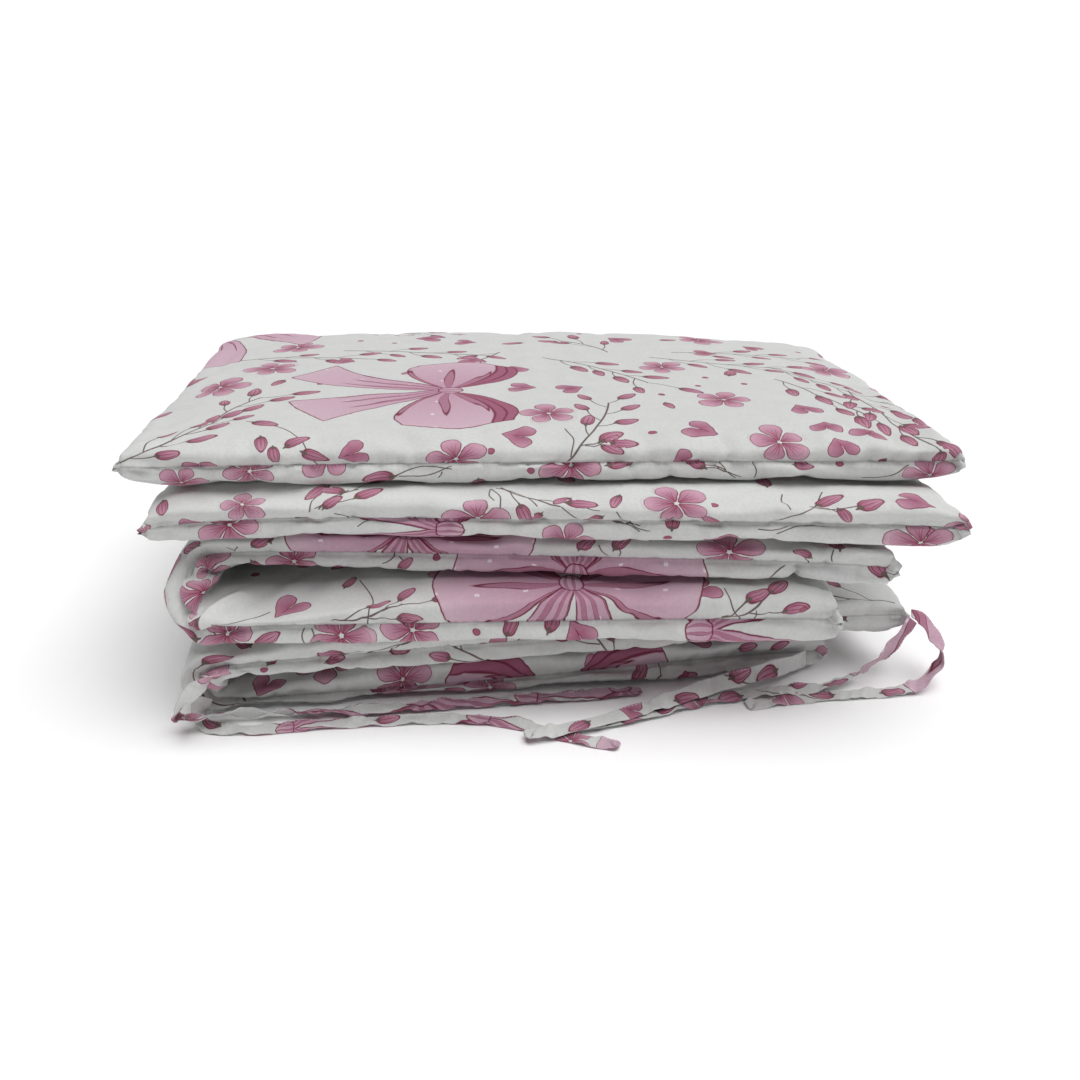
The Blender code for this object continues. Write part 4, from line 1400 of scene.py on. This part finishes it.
TIE_MOTIFS = {
    "tie_end_high_a": (
        ("bow", -28, 12, 0, 165), ("bud", 92, 20, 78, 19), ("bud", 118, 16, 100, 17),
        ("stem", (98, 26), (150, 13)), ("bud", 160, 20, -84, 21), ("flower", 196, 27, 20, 36),
        ("bud", 232, 19, 96, 20), ("bud", 262, 21, 70, 18), ("stem", (214, 14), (275, 24)),
    ),
    "tie_end_high_b": (
        ("bow", -8, 18, 180, 165), ("bud", 104, 20, 84, 18), ("bud", 142, 18, -96, 19),
        ("stem", (110, 24), (170, 15)), ("flower", 182, 13, 40, 34),
    ),
    "tie_end_low": (
        ("bud", 34, 20, -80, 20), ("stem", (20, 24), (78, 15)), ("bud", 74, 18, 98, 19),
        ("bud", 124, 21, 82, 20), ("heart", 160, 18, 60, 22), ("bud", 196, 18, -76, 19),
    ),
    "tie_fold_a": (
        ("flower", 64, 4, 20, 36), ("bud", 100, 7, 84, 19), ("bow", 158, 10, 82, 150),
        ("bow", 236, 14, 90, 165), ("bow", 318, 8, 74, 150), ("bow", 392, 12, 90, 150),
    ),
    "tie_fold_b": (
        ("bud", 34, 8, 80, 20), ("bow", 84, 4, 90, 110), ("bud", 150, 6, -82, 18),
        ("bow", 226, 9, 84, 150), ("flower", 300, 2, 30, 34), ("bow", 352, 0, 0, 60),
    ),
}
RIPPLES = (  # height in mm, length in mm, turns across the strip
    (1.0, 41, 0.22), (0.7, 23, -0.30), (0.45, 12, 0.40),
)
TIE_FLOOR = 0.3
SEWN_END, ROUND_END = 12.0, 4.0  # mm that lie still at the seam, and of the rounded end
TURNED_IN = 12.0  # where on the cloth the small end faces lie, in mm
RING_PITCH = 1.5  # mm along the strip
FREE_REACH = 8.0  # mm that a strip looks ahead for other pieces
RIPPLE_ROOM, LEAST_RIPPLE = 2.4, 0.12  # mm of room for full ripples, and the least share
RIPPLE_SHARES = (0.55, 0.45)  # of the height, in the middle and what comes on to the edges
END_SHARES = (0.55, 0.45)  # of the width, at the very end and what comes on after it
UNEVEN, UNEVEN_LENGTH = 0.05, 31  # share of the width, and mm


def free_way(trees, spot, way):
    """How far a spot of a tie may go one way before it meets another piece, in mm."""
    found = [tree.ray_cast(Vector(spot * MM), Vector(way), FREE_REACH * MM)[3] for tree in trees]
    found = [hit / MM for hit in found if hit is not None]
    return max(min(found) - TIE_THICK, 0) if found else FREE_REACH


def tie_strip(route, trees, seed):
    """A flat folded strip along its route: its points round and along, and its run."""
    line = smooth_route(route, 12)
    spots, rolls = line[:, :3].copy(), np.radians(line[:, 3])
    spots[:, :2] -= PLAN_MIDDLE
    run = np.concatenate([[0], np.cumsum(np.linalg.norm(np.diff(spots, axis=0), axis=1))])
    even = np.linspace(0, run[-1], round(run[-1] / RING_PITCH) + 1)
    spots = np.stack([np.interp(even, run, spots[:, k]) for k in range(3)], 1)
    rolls, run = np.interp(even, run, rolls), even
    forward = np.gradient(spots, axis=0)
    forward /= np.linalg.norm(forward, axis=1, keepdims=True)
    upright = np.cross(forward, (0, 1, 0))
    upright /= np.linalg.norm(upright, axis=1, keepdims=True)
    level = np.cross(upright, forward)
    reach = level * np.cos(rolls)[:, None] + upright * np.sin(rolls)[:, None]
    face = np.cross(forward, reach)
    free = [
        min(free_way(trees, spot, way), free_way(trees, spot, -way))
        for spot, way in zip(spots, face)
    ]
    pick = np.random.default_rng(seed)
    # places across the strip, and half its thickness there
    across = np.array([-1, -0.93, -0.75, -0.5, -0.25, 0, 0.25, 0.5, 0.75, 0.93, 1.0])
    half = TIE_THICK / 2 * np.array([0.35, 0.8, 1, 1, 1, 1, 1, 1, 1, 0.8, 0.35])
    wave = 0
    for height, length, twist in RIPPLES:
        start = pick.uniform(0, 1)
        bend = 0.25 * np.sin(math.tau * (run / (length * 3.7) + start))
        turn = run / length + bend + start
        wave = wave + height * np.sin(math.tau * (turn[:, None] + twist * across))
    calm = smooth(run / SEWN_END) * np.clip(np.array(free) / RIPPLE_ROOM, LEAST_RIPPLE, 1)
    wave = wave * calm[:, None] * (RIPPLE_SHARES[0] + RIPPLE_SHARES[1] * np.abs(across))
    to_end = np.clip((run[-1] - run) / ROUND_END, 0, 1)
    wider = END_SHARES[1] * np.sqrt(1 - (1 - to_end) ** 2)
    wide = TIE_WIDTH / 2 * (END_SHARES[0] + wider)
    wide *= 1 + UNEVEN * np.sin(math.tau * (run / UNEVEN_LENGTH + pick.uniform(0, 1)))
    middle = spots[:, None] + reach[:, None] * (wide[:, None] * across)[..., None]
    middle += face[:, None] * wave[..., None]
    middle[..., 2] = np.maximum(middle[..., 2], TIE_FLOOR + half)
    rings = [middle + face[:, None] * (half * side)[None, :, None] for side in (1, -1)]
    return np.concatenate([rings[0], rings[1][:, ::-1]], axis=1) * MM, run


stitch_lines = []
for number, (tie_name, tie_route) in enumerate(TIES.items()):
    beside = [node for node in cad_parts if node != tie_name]
    tube, run = tie_strip(tie_route, neighbours(*beside), number)
    long, round_ = tube.shape[:2]
    # a seam on each face, between the point next to the edge and the one further in
    for near_edge, next_in in ((9, 8), (12, 13)):
        stitch_lines.append(tube[4:-3, near_edge] * 0.35 + tube[4:-3, next_in] * 0.65)
    grid = np.arange(long * round_).reshape(long, round_)
    side = np.stack([grid[:-1], grid[1:], np.roll(grid[1:], -1, 1), np.roll(grid[:-1], -1, 1)], -1)
    half_way = np.arange(round_ // 2 - 1)
    cap = np.stack([half_way, half_way + 1, round_ - 2 - half_way, round_ - 1 - half_way], -1)
    tie_faces = np.concatenate([side.reshape(-1, 4), cap, cap[:, ::-1] + grid[-1, 0]])
    around = np.linspace(0, 2 * TIE_WIDTH, round_ + 1)
    spots = np.stack(np.meshgrid(run, around, indexing="ij"), -1)
    cap_spots = np.full((2 * len(cap), 4, 2), TURNED_IN)
    flat = np.concatenate([cells(spots).reshape(-1, 4, 2), cap_spots])
    tie_mesh = bpy.data.meshes.new(tie_name + "_strip")
    tie_mesh.from_pydata(tube.reshape(-1, 3).tolist(), [], tie_faces.tolist())
    tie_mesh.shade_smooth()
    size = (run[-1], 2 * TIE_WIDTH)
    printed(tie_mesh, [(flat, TIE_MOTIFS[tie_name], size)], 20 + number)
    tie_mesh.materials.append(cotton)
    strip = placed(tie_name + "_strip", tie_mesh)
    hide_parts(tie_name)
    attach(strip, "root")

# ---- Stitching of the ties -------------------------------------------------------------
# White cotton thread in a straight run of lockstitch, close to the open edge of each tie,
# on both of its faces.

STITCH_PITCH, STITCH_LENGTH, STITCH_RADIUS = 3.1, 2.4, 0.22  # mm

# matt, twisted, a bit fuzzy
thread, thread_shader = plain_material("white cotton sewing thread", 0.7, 0.3)
thread_place = add(thread.node_tree, "ShaderNodeTexCoord").node.outputs["Object"]
thread_twist = add(thread.node_tree, "ShaderNodeTexNoise", thread_place, 2500.0, 1.0)
thread_tone = add(
    thread.node_tree, MIX, thread_twist, hex_colour("d6d7d8"), hex_colour("eff0f0"),
    data_type="RGBA",
)
thread.node_tree.links.new(thread_tone, thread_shader.inputs["Base Color"])

stitching = bpy.data.node_groups.new("top stitching", "GeometryNodeTree")
stitching.interface.new_socket("Lines", in_out="INPUT", socket_type="NodeSocketGeometry")
for size_name in ("Pitch", "Length", "Radius"):
    stitching.interface.new_socket(size_name, in_out="INPUT", socket_type="NodeSocketFloat")
stitching.interface.new_socket("Stitches", in_out="OUTPUT", socket_type="NodeSocketGeometry")
given = stitching.nodes.new("NodeGroupInput").outputs
paths = add(stitching, "GeometryNodeMeshToCurve", given["Lines"])
paths = add(stitching, "GeometryNodeResampleCurve", paths, None, given["Pitch"], mode="LENGTH")
along = add(stitching, "FunctionNodeAlignRotationToVector", None, None,
            add(stitching, "GeometryNodeInputTangent"), axis="Z")
one_stitch = add(stitching, "GeometryNodeMeshIcoSphere", 1.0, 1)
half_length = add(stitching, MATH, given["Length"], 0.5, operation="MULTIPLY")
stretch = add(stitching, "ShaderNodeCombineXYZ", given["Radius"], given["Radius"], half_length)
laid = add(stitching, "GeometryNodeInstanceOnPoints", paths, None, one_stitch, None, None,
           along, stretch)
laid = add(stitching, "GeometryNodeRealizeInstances", laid)
laid = add(stitching, "GeometryNodeSetMaterial", laid, None, thread)
finished = stitching.nodes.new("NodeGroupOutput")
stitching.links.new(laid, finished.inputs["Stitches"])

line_points = np.concatenate(stitch_lines)
line_edges, first_point = [], 0
for line in stitch_lines:
    line_edges += [(i, i + 1) for i in range(first_point, first_point + len(line) - 1)]
    first_point += len(line)
lines_mesh = bpy.data.meshes.new("stitch lines")
lines_mesh.from_pydata(line_points.tolist(), line_edges, [])
lines = placed("stitch lines", lines_mesh)
sewing = lines.modifiers.new("top stitching", "NODES")
sewing.node_group = stitching
for size_name, size in (
    ("Pitch", STITCH_PITCH), ("Length", STITCH_LENGTH), ("Radius", STITCH_RADIUS)
):
    sewing[stitching.interface.items_tree[size_name].identifier] = size * MM
made = lines.evaluated_get(bpy.context.evaluated_depsgraph_get())
stitch_mesh = bpy.data.meshes.new_from_object(made)
bpy.data.objects.remove(lines)
stitch_mesh.shade_smooth()
stitches = placed("tie_stitches", stitch_mesh)
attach(stitches, "root")
